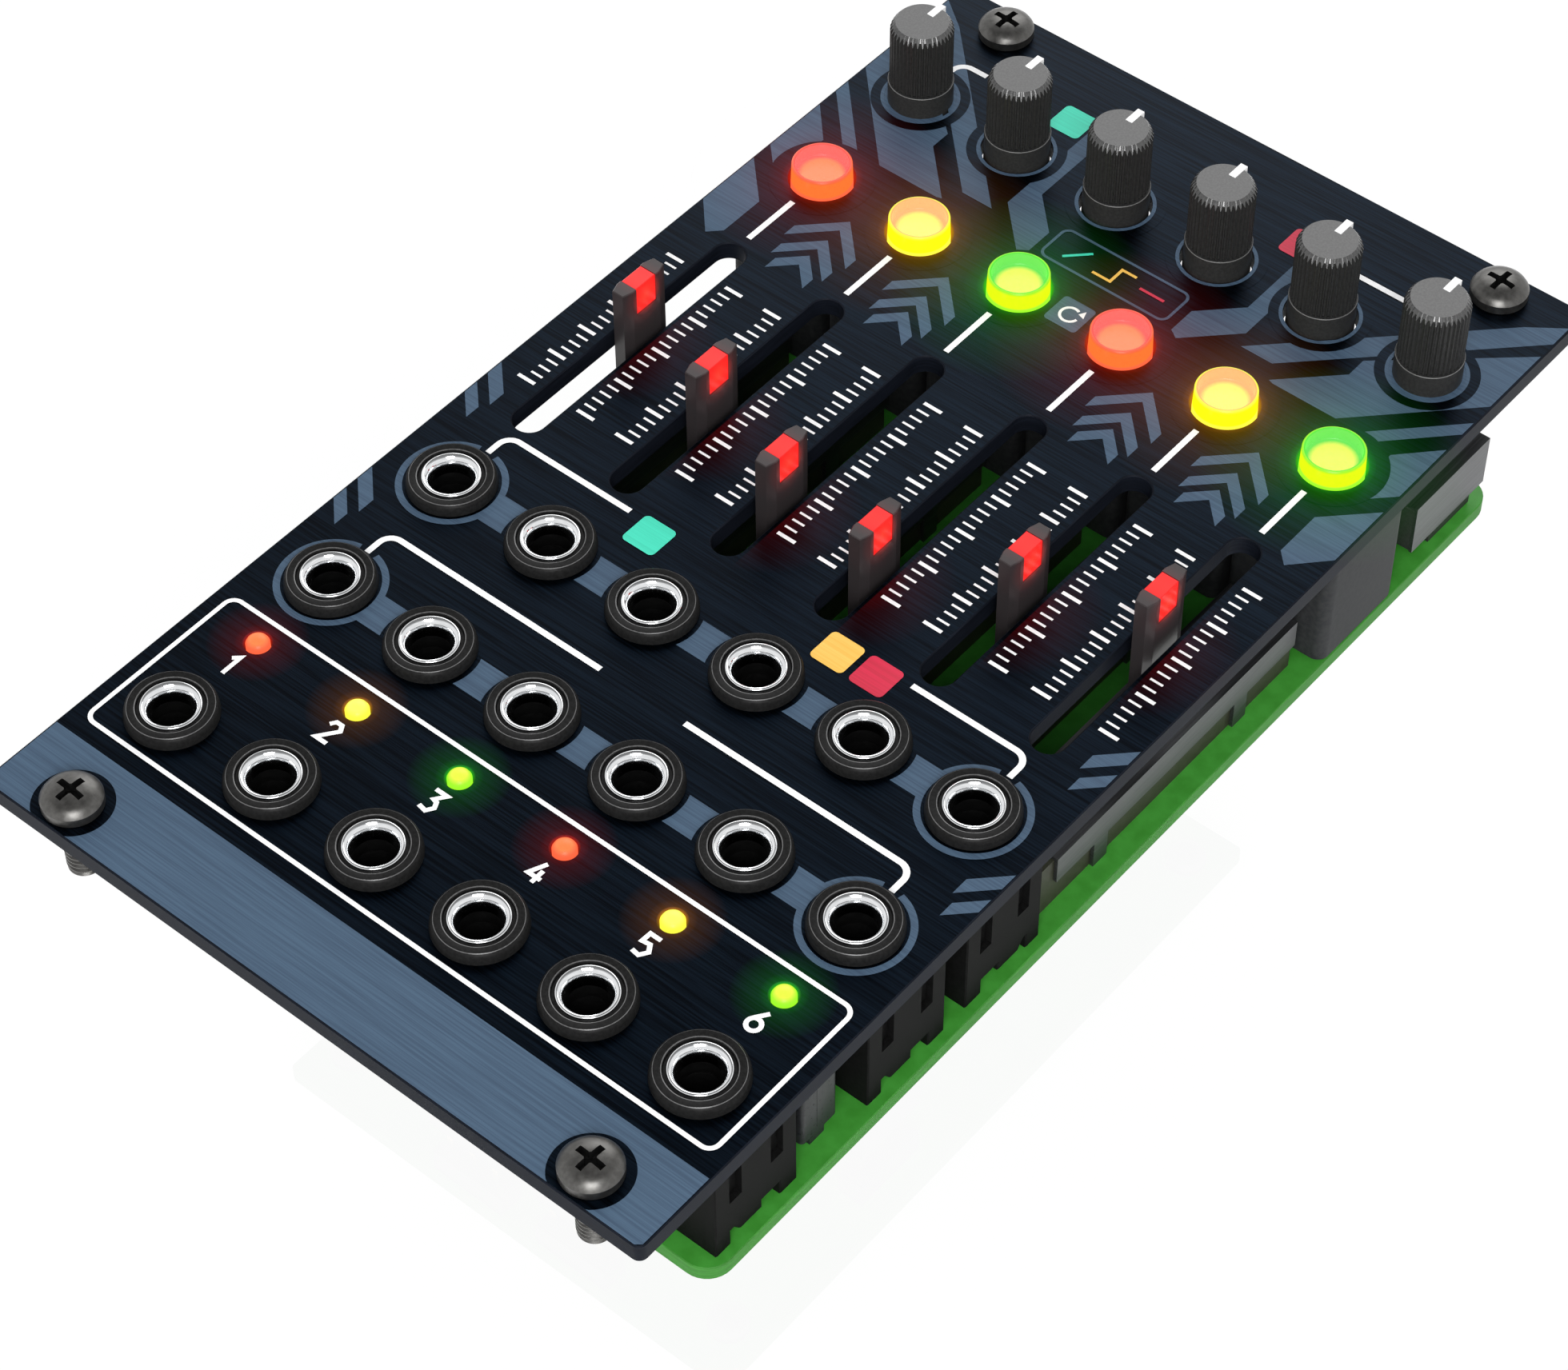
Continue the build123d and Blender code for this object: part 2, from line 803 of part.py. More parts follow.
led = step_led()
for colour_index, colour in enumerate(("red", "yellow", "green")):
    save(at(led, led_places[colour_index::3]), f"{colour}_step_leds")

# Fixed pieces at the back
save(rear_board(), "rear_board")
save(at(link_socket(), link_places), "link_sockets")
save(at(link_strip(), link_places), "link_strips")
save(at(link_pins(), link_places), "link_pins")
save(at(small_screw(), small_screw_places), "rear_board_screws")
power_place = [(rear_board_centre_x, power_header_y)]
save(at(power_shroud(), power_place), "power_shroud")
save(at(power_pins(), power_place), "power_pins")
save(circuit_chips(), "circuit_chips")
capacitor_places = [(capacitor_x, capacitor_y + side * capacitor_pitch / 2) for side in (-1, 1)]
save(at(filter_capacitor(), capacitor_places), "filter_capacitors")
regulator_places = [(regulator_x, regulator_y + side * regulator_pitch / 2) for side in (-1, 1)]
save(at(voltage_regulator(), regulator_places), "voltage_regulators")

# Moving pieces, one of each per column
knob_piece = knob()
pointer_piece = knob_pointer()
cap_piece = button_cap()
lever_piece = slider_lever()
lens_piece = slider_lens()
for column, rest_share in enumerate(slider_rest_shares):
    number = column + 1
    save(at(knob_piece, [knob_places[column]]), f"knob_{number}")
    save(at(pointer_piece, [knob_places[column]]), f"knob_pointer_{number}")
    save(at(cap_piece, [button_places[column]]), f"button_cap_{number}")
    slider_x, slider_y = slider_places[column]
    rest_place = [(slider_x, slider_y + rest_share * slider_travel / 2)]
    save(at(lever_piece, rest_place), f"slider_lever_{number}")
    save(at(lens_piece, rest_place), f"slider_lens_{number}")
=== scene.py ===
"""Looks of the six-channel sequencer module: meshes, finishes, studio and camera.

Sizes are in millimetres in the part's frame (origin on the panel's rear face, +X right, +Y up the panel,
+Z out of the front) and are turned to metres only when a mesh is handed to Blender.
"""
from __future__ import annotations

import json
import logging
import math
from dataclasses import dataclass
from enum import Enum
from typing import Iterable, Sequence

import bmesh
import bpy
from mathutils import Matrix, Vector

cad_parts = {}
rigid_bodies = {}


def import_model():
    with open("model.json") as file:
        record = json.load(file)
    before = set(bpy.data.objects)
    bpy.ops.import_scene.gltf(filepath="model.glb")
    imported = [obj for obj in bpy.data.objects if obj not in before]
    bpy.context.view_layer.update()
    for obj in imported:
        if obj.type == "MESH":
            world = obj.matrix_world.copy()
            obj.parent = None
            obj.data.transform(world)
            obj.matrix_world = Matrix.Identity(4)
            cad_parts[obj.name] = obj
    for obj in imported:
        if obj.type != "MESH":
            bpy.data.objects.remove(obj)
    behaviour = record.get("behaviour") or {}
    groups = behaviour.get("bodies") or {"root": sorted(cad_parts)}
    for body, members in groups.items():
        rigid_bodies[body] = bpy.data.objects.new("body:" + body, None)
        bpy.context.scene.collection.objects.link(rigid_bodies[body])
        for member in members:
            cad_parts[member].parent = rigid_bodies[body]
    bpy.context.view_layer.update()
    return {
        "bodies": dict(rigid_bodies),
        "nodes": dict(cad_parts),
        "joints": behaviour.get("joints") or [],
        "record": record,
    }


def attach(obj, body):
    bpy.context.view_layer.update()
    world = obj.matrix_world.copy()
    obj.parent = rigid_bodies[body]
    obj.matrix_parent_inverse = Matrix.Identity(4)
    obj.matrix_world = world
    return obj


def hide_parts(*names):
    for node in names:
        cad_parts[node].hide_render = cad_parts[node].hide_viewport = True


log = logging.getLogger("module")

MM = 0.001
Point = tuple[float, float]

# Columns of controls across the panel
COLUMN_PITCH = 11.43
COLUMNS: tuple[float, ...] = tuple((index - 2.5) * COLUMN_PITCH for index in range(6))
# Z of the faces that the pieces stand on, where the panel's rear face is at 0
PANEL_FRONT = 2.0
BOARD_TOP = -14.4
BOARD_BOTTOM = -16.0
REAR_TOP = -31.2
REAR_BOTTOM = -32.8


# Finishes

def linear(hexadecimal: str) -> tuple[float, float, float, float]:
    """Turn an sRGB hex colour into linear light.

    Args:
        hexadecimal: Colour such as "#4b6078".

    Returns:
        Linear red, green, blue and an alpha of 1.
    """
    parts = [int(hexadecimal[start:start + 2], 16) / 255 for start in (1, 3, 5)]
    light = [part / 12.92 if part <= 0.04045 else ((part + 0.055) / 1.055) ** 2.4 for part in parts]
    return light[0], light[1], light[2], 1.0


def add_node(
    tree: bpy.types.NodeTree, kind: str, sockets: dict | None = None, **settings: object
) -> bpy.types.Node:
    """Add one node with its settings and links.

    Args:
        tree: Node tree that gets the node.
        kind: Blender's name of the node type, without its first word, ShaderNode.
        sockets: Input name or number, with a value, the output that feeds it or a node whose first one does.
        **settings: Plain properties of the node.

    Returns:
        The new node.
    """
    made = tree.nodes.new(f"ShaderNode{kind}")
    for name, value in settings.items():
        setattr(made, name, value)
    for name, value in (sockets or {}).items():
        if isinstance(value, bpy.types.Node):
            value = value.outputs[0]
        if isinstance(value, bpy.types.NodeSocket):
            tree.links.new(value, made.inputs[name])
        else:
            made.inputs[name].default_value = value
    return made


def blank_material(name: str) -> bpy.types.Material:
    """Return a new material with an empty node tree.

    Args:
        name: Name of the material.

    Returns:
        The material.
    """
    made = bpy.data.materials.new(name)
    made.use_nodes = True
    made.node_tree.nodes.clear()
    return made


def set_ramp(ramp: bpy.types.Node, stops: Sequence[tuple[float, str | Sequence[float]]]) -> bpy.types.Node:
    """Set a colour ramp's stops.

    Args:
        ramp: Colour ramp node.
        stops: Position from 0 to 1 of each stop, in order, with its sRGB hex colour or its linear colour.

    Returns:
        The same node.
    """
    elements = ramp.color_ramp.elements
    while len(elements) < len(stops):
        elements.new(1.0)
    for element, (position, colour) in zip(elements, stops):
        element.position = position
        element.color = linear(colour) if isinstance(colour, str) else colour
    return ramp


@dataclass(frozen=True)
class Finish:
    """One surface finish with a fine grain of two tones.

    grain is the size of its pattern in millimetres, or its sizes along X, Y and Z, and relief its depth.
    shine is the strength of the plain reflection, under 0.5 for a matted skin.
    """

    name: str
    colour: str
    second: str
    roughness: float = 0.5
    metallic: float = 0.0
    ior: float = 1.5
    grain: float | tuple[float, float, float] = 0.35
    relief: float = 0.004
    rough_spread: float = 0.08
    shine: float = 0.5
    opacity: float = 1.0

    def material(self) -> bpy.types.Material:
        """Return the finish's material, made on first use."""
        found = bpy.data.materials.get(self.name)
        return found if found else self.make()

    def surface(self, tree: bpy.types.NodeTree, grain: bpy.types.Node) -> dict:
        """Return the shader's colour and other linked or set sockets.

        Args:
            tree: Material's node tree.
            grain: Noise node that carries the pattern.

        Returns:
            Socket values for the Principled shader.
        """
        ramp = add_node(tree, "ValToRGB", {"Fac": grain})
        # Noise keeps near its middle, so the two tones stand a little to either side of it
        set_ramp(ramp, [(0.36, self.colour), (0.64, self.second)])
        return {"Base Color": ramp}

    def make(self) -> bpy.types.Material:
        """Build the material's nodes.

        Returns:
            The new material.
        """
        made = blank_material(self.name)
        tree = made.node_tree
        place = add_node(tree, "TexCoord")
        sizes = self.grain if isinstance(self.grain, tuple) else (self.grain,) * 3
        scale = [1 / (size * MM) for size in sizes]
        spread = add_node(tree, "Mapping", {"Vector": place.outputs["Object"], "Scale": scale})
        grain = add_node(tree, "TexNoise", {"Vector": spread, "Scale": 1.0, "Detail": 3.0})
        gloss = add_node(tree, "MapRange", {
            "Value": grain,
            "To Min": max(self.roughness - self.rough_spread, 0.02),
            "To Max": self.roughness + self.rough_spread,
        })
        bump = add_node(tree, "Bump", {"Height": grain, "Distance": self.relief * MM})
        sockets = {
            "Roughness": gloss,
            "Normal": bump,
            "Metallic": self.metallic,
            "IOR": self.ior,
            "Specular IOR Level": self.shine,
            "Alpha": self.opacity,
        }
        sockets.update(self.surface(tree, grain))
        shader = add_node(tree, "BsdfPrincipled", sockets)
        add_node(tree, "OutputMaterial", {"Surface": shader})
        return made


class Spread(Enum):
    """Way in which the light inside a lit plastic changes."""

    # From the piece's own Z axis outwards
    RADIAL = (1.0, 1.0, 0.0)
    # Outwards from the centre of a lever's window, which is a little taller than it is wide
    AROUND = (0.0, 1.19, 1.0)
    # Along the piece's own Z axis
    UPWARD = (0.0, 0.0, 1.0)


@dataclass(frozen=True)
class GlowFinish(Finish):
    """Translucent plastic lit from inside.

    stops are shares of the way from start to reach, in millimetres, with their colours. centre is the Z that
    the light spreads from, and cloud the share by which the light varies.
    """

    spread: Spread = Spread.RADIAL
    centre: float = 0.0
    start: float = 0.0
    reach: float = 3.0
    stops: tuple[tuple[float, str], ...] = ()
    cloud: float = 0.07

    def surface(self, tree: bpy.types.NodeTree, grain: bpy.types.Node) -> dict:
        """Return a dim body colour and the light from inside.

        Args:
            tree: Material's node tree.
            grain: Noise node that clouds the light a little.

        Returns:
            Socket values for the Principled shader.
        """
        place = add_node(tree, "TexCoord")
        centre = (0, 0, self.centre * MM)
        off = add_node(tree, "VectorMath", {0: place.outputs["Object"], 1: centre}, operation="SUBTRACT")
        along = add_node(tree, "VectorMath", {0: off, 1: self.spread.value}, operation="MULTIPLY")
        if self.spread is Spread.UPWARD:
            distance = add_node(tree, "SeparateXYZ", {0: along}).outputs["Z"]
        else:
            way = add_node(tree, "VectorMath", {0: along}, operation="LENGTH")
            distance = way.outputs["Value"]
        limits = {"Value": distance, "From Min": self.start * MM, "From Max": self.reach * MM}
        share = add_node(tree, "MapRange", limits)
        ramp = set_ramp(add_node(tree, "ValToRGB", {"Fac": share}), self.stops)
        low, high = 1 - self.cloud, 1 + self.cloud
        cloud = add_node(tree, "MapRange", {"Value": grain, "To Min": low, "To Max": high})
        light = add_node(tree, "VectorMath", {0: ramp, "Scale": cloud}, operation="SCALE")
        return {"Base Color": linear(self.colour), "Emission Color": light, "Emission Strength": 1.0}


class FinishChoice(Enum):
    """Named finishes of one kind."""

    def material(self) -> bpy.types.Material:
        """Return the named finish's material."""
        return self.value.material()


# Brushing leaves hairlines 9 mm long, drawn wider than real ones so that they show
HAIRLINES = (9, 0.16, 0.16)


def thick_ink(colour_name: str, colour: str, second: str) -> Finish:
    """Return a thick screen ink with the squeegee's marks along X."""
    name = f"screen printed ink, {colour_name}"
    return Finish(name, colour, second, 0.55, grain=(20, 0.2, 0.2), relief=0.003)


class Panel(FinishChoice):
    """Finishes of the front panel and what is printed on it."""

    # Dyed anodising over brushed sheet: long hairlines along X, drawn 0.16 mm wide so that they show
    SHEET = Finish("anodised brushed aluminium, navy", "#060b12", "#101a25", 0.42, 1.0, grain=HAIRLINES,
                   relief=0.003)
    # The milled edge is matted by the dye layer, so it stays dark where it faces the floor
    EDGE = Finish("anodised milled aluminium, navy", "#11141b", "#191d26", 0.5, 0.1, grain=(4, 4, 0.12),
                  shine=0.05)
    # Thin screen ink lets the hairlines through
    SLATE = Finish("screen printed ink, slate", "#3e5166", "#4a6076", 0.6, grain=HAIRLINES, relief=0.003,
                   shine=0.2)
    # Dense white ink: flat and even
    WHITE = Finish("screen printed ink, white", "#f2f3f4", "#fbfbfb", 0.6, grain=0.5, relief=0.002)
    # Flat, strong colours with a faint drag along X
    TEAL = thick_ink("teal", "#2fcfae", "#3bdcbb")
    AMBER = thick_ink("amber", "#f7bf50", "#fdcb62")
    CRIMSON = thick_ink("crimson", "#c9123a", "#d91c46")


class Metal(FinishChoice):
    """Metal finishes."""

    # Oxide-blackened steel: dark, with a soft shine on the domed heads
    SCREW = Finish("blackened steel, cold headed", "#585755", "#656462", 0.36, 0.9, grain=0.5)
    # Painted shade: the cross is painted near black, darker than the head's steel
    RECESS = Finish("blackened steel, punched recess", "#101010", "#1a1a1a", 0.6, 0.6)
    # Bright plating over turned brass: mirror like, with faint turning marks
    CHROME = Finish("chromed brass, turned", "#dfe1e3", "#eeeff0", 0.1, 1.0, grain=(0.9, 0.9, 0.06),
                    relief=0.001)
    # Tin-plated sheet, pressed: dull grey with rolled streaks
    COVER = Finish("tinned sheet steel, pressed", "#4a4b4d", "#5c5d5f", 0.4, 0.85, grain=(0.2, 6, 0.2))
    # Thin plating over drawn wire: warm yellow with lines along the pin
    GOLD = Finish("gold plated brass, drawn", "#d9b45a", "#e6c878", 0.25, 1.0, grain=(0.1, 0.1, 1.5))
    # Melted and set: bright and smooth
    SOLDER = Finish("soft solder, reflowed", "#b4b7ba", "#c8cbce", 0.25, 1.0, grain=0.4, relief=0.002)
    # Deep drawn cup: satin, with draw lines up its side
    CAN = Finish("drawn aluminium can", "#a9acb0", "#bfc2c5", 0.33, 1.0, grain=(0.2, 0.2, 3.0))


class Plastic(FinishChoice):
    """Moulded and cast plastics, whose fine even grain is drawn 0.15 to 0.6 mm wide so that it shows."""

    # Satin black, with little shine at the sides
    NUT = Finish("moulded nylon, black satin", "#1a1a1a", "#212121", 0.35, grain=0.3, relief=0.002,
                 shine=0.06)
    # The turned shoulder and the inner rim of the nuts are painted lighter, as painted highlight lines
    RIM_HIGHLIGHT = Finish("moulded nylon, rubbed edge", "#525252", "#606060", 0.3, grain=0.3, relief=0.001)
    # Deep black and nearly flat under the panel
    HOUSING = Finish("moulded nylon, black", "#111111", "#171717", 0.5, grain=0.4, shine=0.02)
    # Painted shade: the bore is painted near black, darker than the housing's nylon
    BORE = Finish("moulded nylon, bore", "#060606", "#0a0a0a", 0.5, grain=(1, 1, 0.3), shine=0.2)
    # Satin charcoal, so that the splines read as soft lines
    KNOB = Finish("moulded nylon, charcoal", "#2a2a2a", "#323232", 0.38, grain=0.25, shine=0.12)
    # Cut flat after moulding: paler and duller than the sides. A thin band of it round the pots' collars is a
    # painted highlight
    KNOB_END_AND_HIGHLIGHT = Finish("moulded nylon, faced end", "#5a5a5a", "#676767", 0.5, grain=0.2)
    # Cut chamfer: bright where a facet faces the lamp
    CHAMFER = Finish("moulded nylon, cut chamfer", "#3c3c3c", "#484848", 0.22, 0.3, relief=0.001, shine=0.8)
    # Plain white insert
    POINTER = Finish("moulded ABS, white", "#eeeeee", "#fafafa", 0.5)
    # Glass-filled plastic: dark grey and flat
    GREY = Finish("moulded PBT, dark grey", "#2e2f31", "#373839", 0.5, grain=0.5, shine=0.06)
    # The slide pots' track trough: brown-green board, seen through the slots
    TROUGH = Finish("pressed phenolic, dark olive", "#2e3024", "#383a2e", 0.5, grain=0.6, shine=0.25)
    # Clear top of the caps: only its shine shows
    WINDOW = Finish("moulded ABS, clear", "#c8c8c8", "#d4d4d4", 0.15, relief=0.0005, opacity=0.05)
    # Tinted and glossy: dark, with a hint of what is behind it
    SPACER = Finish("moulded polycarbonate, grey", "#262729", "#303133", 0.3, ior=1.58, relief=0.001,
                    shine=0.1, opacity=0.9)
    # Plain black connector plastic
    HEADER = Finish("moulded PBT, black", "#161616", "#202020", 0.5)
    # Moulding compound: dull black with a sandy grain
    EPOXY = Finish("cast epoxy, black", "#1a1b1d", "#242528", 0.6, grain=0.15)


class Board(FinishChoice):
    """Circuit board finishes."""

    # Solder mask over copper: even satin green
    MASK = Finish("solder mask, green", "#388a2b", "#409634", 0.45, grain=1.6)
    # Routed laminate edge: deeper green, with the glass layers as lines
    EDGE = Finish("routed glass laminate", "#347529", "#3e8632", 0.6, grain=(3, 3, 0.16), shine=0.2)


@dataclass(frozen=True)
class LitColours:
    """Colours of one lit plastic.

    body is the plastic unlit, core its bright middle, wall the cup round that, rim its edge, side its outside
    and spill the light that it throws on the panel, painted there as glowing discs.
    """

    body: str
    core: str
    wall: str
    rim: str
    side: str
    spill: str


class Glow(Enum):
    """Colours of the button caps and step lights, and their finishes."""

    RED = LitColours("#401008", "#ff8c50", "#ff564e", "#ff6842", "#ff7a34", "#ff2a18")
    YELLOW = LitColours("#403008", "#ffff70", "#ffb86c", "#ffff48", "#ffff10", "#ff9a20")
    GREEN = LitColours("#104008", "#f4ff4c", "#5ae638", "#a4f428", "#ecff10", "#30ff30")

    @property
    def key(self) -> str:
        """Name used in material and piece names."""
        return self.name.lower()

    def lit(
        self, name: str, roughness: float, stops: tuple[tuple[float, str], ...], **light: object
    ) -> GlowFinish:
        """Return one lit plastic of this colour.

        Args:
            name: Name of the finish.
            roughness: Roughness of its skin.
            stops: Shares of the light's way, with their colours.
            **light: How the light spreads, as fields of the finish.

        Returns:
            The finish.
        """
        body = self.value.body
        return GlowFinish(name, body, body, roughness, relief=0.0005, shine=0.2, stops=stops, **light)

    def cap_top(self) -> GlowFinish:
        """Return the inside of a button cap under its clear window.

        Returns:
            A bright disc in a duller cup with a lit rim.
        """
        core, wall, rim = self.value.core, self.value.wall, self.value.rim
        stops = ((0.0, core), (0.6, core), (0.76, wall), (0.87, wall), (0.9, rim))
        return self.lit(f"moulded clear ABS, {self.key} cap inside", 0.3, stops, reach=3.0)

    def cap_side(self) -> GlowFinish:
        """Return the side of a button cap.

        Returns:
            A bright finish, a little duller at the top edge and close to the panel.
        """
        rim, side = self.value.rim, self.value.side
        stops = ((0.0, rim), (0.1, side), (0.82, side), (1.0, rim))
        name = f"moulded clear ABS, {self.key} cap side"
        return self.lit(name, 0.3, stops, spread=Spread.UPWARD, start=2.0, reach=3.9)

    def led(self) -> GlowFinish:
        """Return a step light's finish.

        Returns:
            A finish that is bright in the middle and deeper in colour at its edge.
        """
        stops = ((0.0, self.value.core), (0.6, self.value.core), (0.95, self.value.rim))
        return self.lit(f"cast epoxy, {self.key} light", 0.35, stops, reach=1.05)


# Z of the middle of a lever's window
WINDOW_CENTRE = 6.65


class Lever(FinishChoice):
    """Finishes of the slide pots' levers."""

    # Deeply tinted plastic: satin and dark, with the window's red light painted into it as emission, fading
    # outwards
    SMOKY = GlowFinish(
        "moulded polycarbonate, smoky", "#302c2d", "#302c2d", 0.3, ior=1.58, relief=0.0, rough_spread=0.0,
        shine=0.25, spread=Spread.AROUND, centre=WINDOW_CENTRE, start=1.4, reach=4.2,
        stops=((0.0, "#8c1712"), (0.25, "#3c0b0b"), (0.6, "#160607"), (1.0, "#030303")))
    # Red light guide behind the window: even, a little warmer towards its middle
    LIGHT = GlowFinish(
        "moulded polycarbonate, red light guide", "#400808", "#400808", 0.2, relief=0.0005, shine=0.2,
        spread=Spread.AROUND, centre=WINDOW_CENTRE, reach=2.0,
        stops=((0.0, "#ff4030"), (0.5, "#ff3028"), (1.0, "#ff2222")))


# Plane outlines

def circle(radius: float, centre: Point = (0, 0), steps: int = 64) -> list[Point]:
    """Return a circle's points, anticlockwise.

    Args:
        radius: Radius in millimetres.
        centre: Centre of the circle.
        steps: Number of points.

    Returns:
        The points.
    """
    turns = [2 * math.pi * step / steps for step in range(steps)]
    return [(centre[0] + radius * math.cos(turn), centre[1] + radius * math.sin(turn)) for turn in turns]


def arc(radius: float, centre: Point, first: float, sweep: float, steps: int) -> list[Point]:
    """Return the points of an arc.

    Args:
        radius: Radius in millimetres.
        centre: Centre of the arc.
        first: Angle of the first point in degrees.
        sweep: Angle that the arc covers in degrees.
        steps: Steps along it.

    Returns:
        The points.
    """
    turns = [math.radians(first + sweep * step / steps) for step in range(steps + 1)]
    return [(centre[0] + radius * math.cos(turn), centre[1] + radius * math.sin(turn)) for turn in turns]


def fillet(path: Sequence[Point], radius: float, closed: bool = True, steps: int = 8) -> list[Point]:
    """Round the corners of a path.

    Args:
        path: Corner points.
        radius: Radius of every corner in millimetres.
        closed: Whether the path returns to its start.
        steps: Points along each rounded corner.

    Returns:
        The points of the rounded path.
    """
    count = len(path)
    rounded: list[Point] = []
    for index, corner in enumerate(path):
        if not closed and index in (0, count - 1):
            rounded.append(corner)
            continue
        here = Vector(corner)
        before = (Vector(path[index - 1]) - here).normalized()
        after = (Vector(path[(index + 1) % count]) - here).normalized()
        half = before.angle(after) / 2
        middle = here + (before + after).normalized() * radius / math.sin(half)
        start = here + before * radius / math.tan(half) - middle
        end = here + after * radius / math.tan(half) - middle
        first = math.atan2(start.y, start.x)
        sweep = (math.atan2(end.y, end.x) - first + math.pi) % (2 * math.pi) - math.pi
        for step in range(steps + 1):
            turn = first + sweep * step / steps
            rounded.append((middle.x + radius * math.cos(turn), middle.y + radius * math.sin(turn)))
    return rounded


def rectangle(low: Point, high: Point, radius: float = 0.0, steps: int = 8) -> list[Point]:
    """Return a rectangle's outline, with rounded corners where radius is over 0."""
    corners = [(low[0], low[1]), (high[0], low[1]), (high[0], high[1]), (low[0], high[1])]
    return fillet(corners, radius, True, steps) if radius > 0 else corners


def centred(half: Point, radius: float = 0.0, steps: int = 8) -> list[Point]:
    """Return the outline of a rectangle round the origin, from half its width and height."""
    return rectangle((-half[0], -half[1]), half, radius, steps)


def slot(centre: Point, width: float, length: float, steps: int = 20) -> list[Point]:
    """Return the outline of a slot along Y with round ends.

    Args:
        centre: Centre of the slot.
        width: Width in millimetres.
        length: Length with the round ends.
        steps: Steps round each end.

    Returns:
        The points, anticlockwise.
    """
    half = (length - width) / 2
    upper = [math.pi * step / steps for step in range(steps + 1)]
    ends = [(width / 2 * math.cos(turn), half + width / 2 * math.sin(turn)) for turn in upper]
    ends += [(-x, -y) for x, y in ends]
    return [(centre[0] + x, centre[1] + y) for x, y in ends]


def moved(outline: Iterable[Point], shift: Point) -> list[Point]:
    """Return an outline moved by a shift."""
    return [(x + shift[0], y + shift[1]) for x, y in outline]


# Meshes

class Form:
    """A mesh under construction, in millimetres."""

    def __init__(self) -> None:
        """Start with an empty mesh."""
        self.mesh = bmesh.new()

    def rings(
        self, rings: Sequence[Sequence[Vector]], paint: Sequence[int] | int = 0, closed: bool = True
    ) -> Form:
        """Join rings of points by faces, each ring with the same count or a single point.

        Args:
            rings: The rings, in order.
            paint: Finish number of every band, or one per band.
            closed: Whether each ring runs round to its start.

        Returns:
            This form.
        """
        rows = [[self.mesh.verts.new(point) for point in ring] for ring in rings]
        for band, (lower, upper) in enumerate(zip(rows, rows[1:])):
            count = max(len(lower), len(upper))
            for index in range(count if closed else count - 1):
                after = (index + 1) % count
                corners = [lower[index % len(lower)], lower[after % len(lower)],
                           upper[after % len(upper)], upper[index % len(upper)]]
                unique = list(dict.fromkeys(corners))
                if len(unique) > 2:
                    face = self.mesh.faces.new(unique)
                    face.material_index = paint if isinstance(paint, int) else paint[band]
        return self

    def lathe(self, profile: Sequence[Point], paint: Sequence[int] | int = 0, steps: int = 64) -> Form:
        """Turn a profile of radius and height round the Z axis.

        Args:
            profile: Radius and Z of each point.
            paint: Finish number of every band, or one per band.
            steps: Points round the axis.

        Returns:
            This form.
        """
        rings = []
        for radius, height in profile:
            outline = circle(radius, steps=steps) if radius > 0 else [(0, 0)]
            rings.append([Vector((x, y, height)) for x, y in outline])
        return self.rings(rings, paint)

    def face(self, outline: Sequence[Point], height: float, paint: int = 0) -> Form:
        """Add one flat face.

        Args:
            outline: Its outline, anticlockwise.
            height: Its Z.
            paint: Finish number.

        Returns:
            This form.
        """
        made = self.mesh.faces.new([self.mesh.verts.new((x, y, height)) for x, y in outline])
        made.material_index = paint
        return self

    def prism(self, outline: Sequence[Point], low: float, high: float, ease: float = 0.0) -> Form:
        """Raise an outline into a solid whose two rims are eased.

        Args:
            outline: Outline in X and Y, anticlockwise.
            low: Lower Z.
            high: Upper Z.
            ease: Width of the small chamfer round both ends.

        Returns:
            This form.
        """
        inner = inset(outline, ease) if ease else list(outline)
        levels = [(inner, low), (outline, low + ease), (outline, high - ease), (inner, high)]
        if not ease:
            levels = levels[::3]
        rings = [[Vector((x, y, height)) for x, y in ring] for ring, height in levels]
        return self.rings(rings).face(inner, low).face(inner, high)

    def box(self, low: Sequence[float], high: Sequence[float], ease: float = 0.0) -> Form:
        """Add a block between two corners, its rims eased."""
        return self.prism(rectangle(low[:2], high[:2]), low[2], high[2], ease)

    def block(self, half: Point, low: float, high: float, ease: float = 0.0) -> Form:
        """Add a block round the Z axis, from half its width and depth, its rims eased."""
        return self.prism(centred(half), low, high, ease)

    def plate(
        self, outline: Sequence[Point], holes: Iterable[Sequence[Point]], low: float, high: float,
        ease: float, edge_paint: int = 0
    ) -> Form:
        """Add a plate with holes, its edges eased on both faces.

        Args:
            outline: Outer outline.
            holes: Outlines of the holes.
            low: Lower Z.
            high: Upper Z.
            ease: Width of the eased edge.
            edge_paint: Finish number of every edge, where that of the two faces is 0.

        Returns:
            This form.
        """
        curve = bpy.data.curves.new("plate_outline", "CURVE")
        curve.dimensions = "2D"
        curve.fill_mode = "BOTH"
        curve.extrude = (high - low) / 2 - ease
        curve.bevel_depth = ease
        # One flat at 45 degrees stays a sharp edge, so the big faces keep even reflections
        curve.bevel_resolution = 0
        curve.offset = -ease
        for ring in (outline, *holes):
            spline = curve.splines.new("POLY")
            spline.points.add(len(ring) - 1)
            for point, (x, y) in zip(spline.points, ring):
                point.co = (x, y, 0, 1)
            spline.use_cyclic_u = True
        holder = bpy.data.objects.new("plate_outline", curve)
        mesh = bpy.data.meshes.new_from_object(holder)
        part = bmesh.new()
        part.from_mesh(mesh)
        bmesh.ops.remove_doubles(part, verts=part.verts, dist=0.0005)
        bmesh.ops.translate(part, verts=part.verts, vec=(0, 0, (low + high) / 2))
        part.normal_update()
        for face in part.faces:
            face.material_index = 0 if abs(face.normal.z) > 0.99 else edge_paint
        part.to_mesh(mesh)
        self.mesh.from_mesh(mesh)
        part.free()
        bpy.data.objects.remove(holder)
        bpy.data.curves.remove(curve)
        bpy.data.meshes.remove(mesh)
        return self

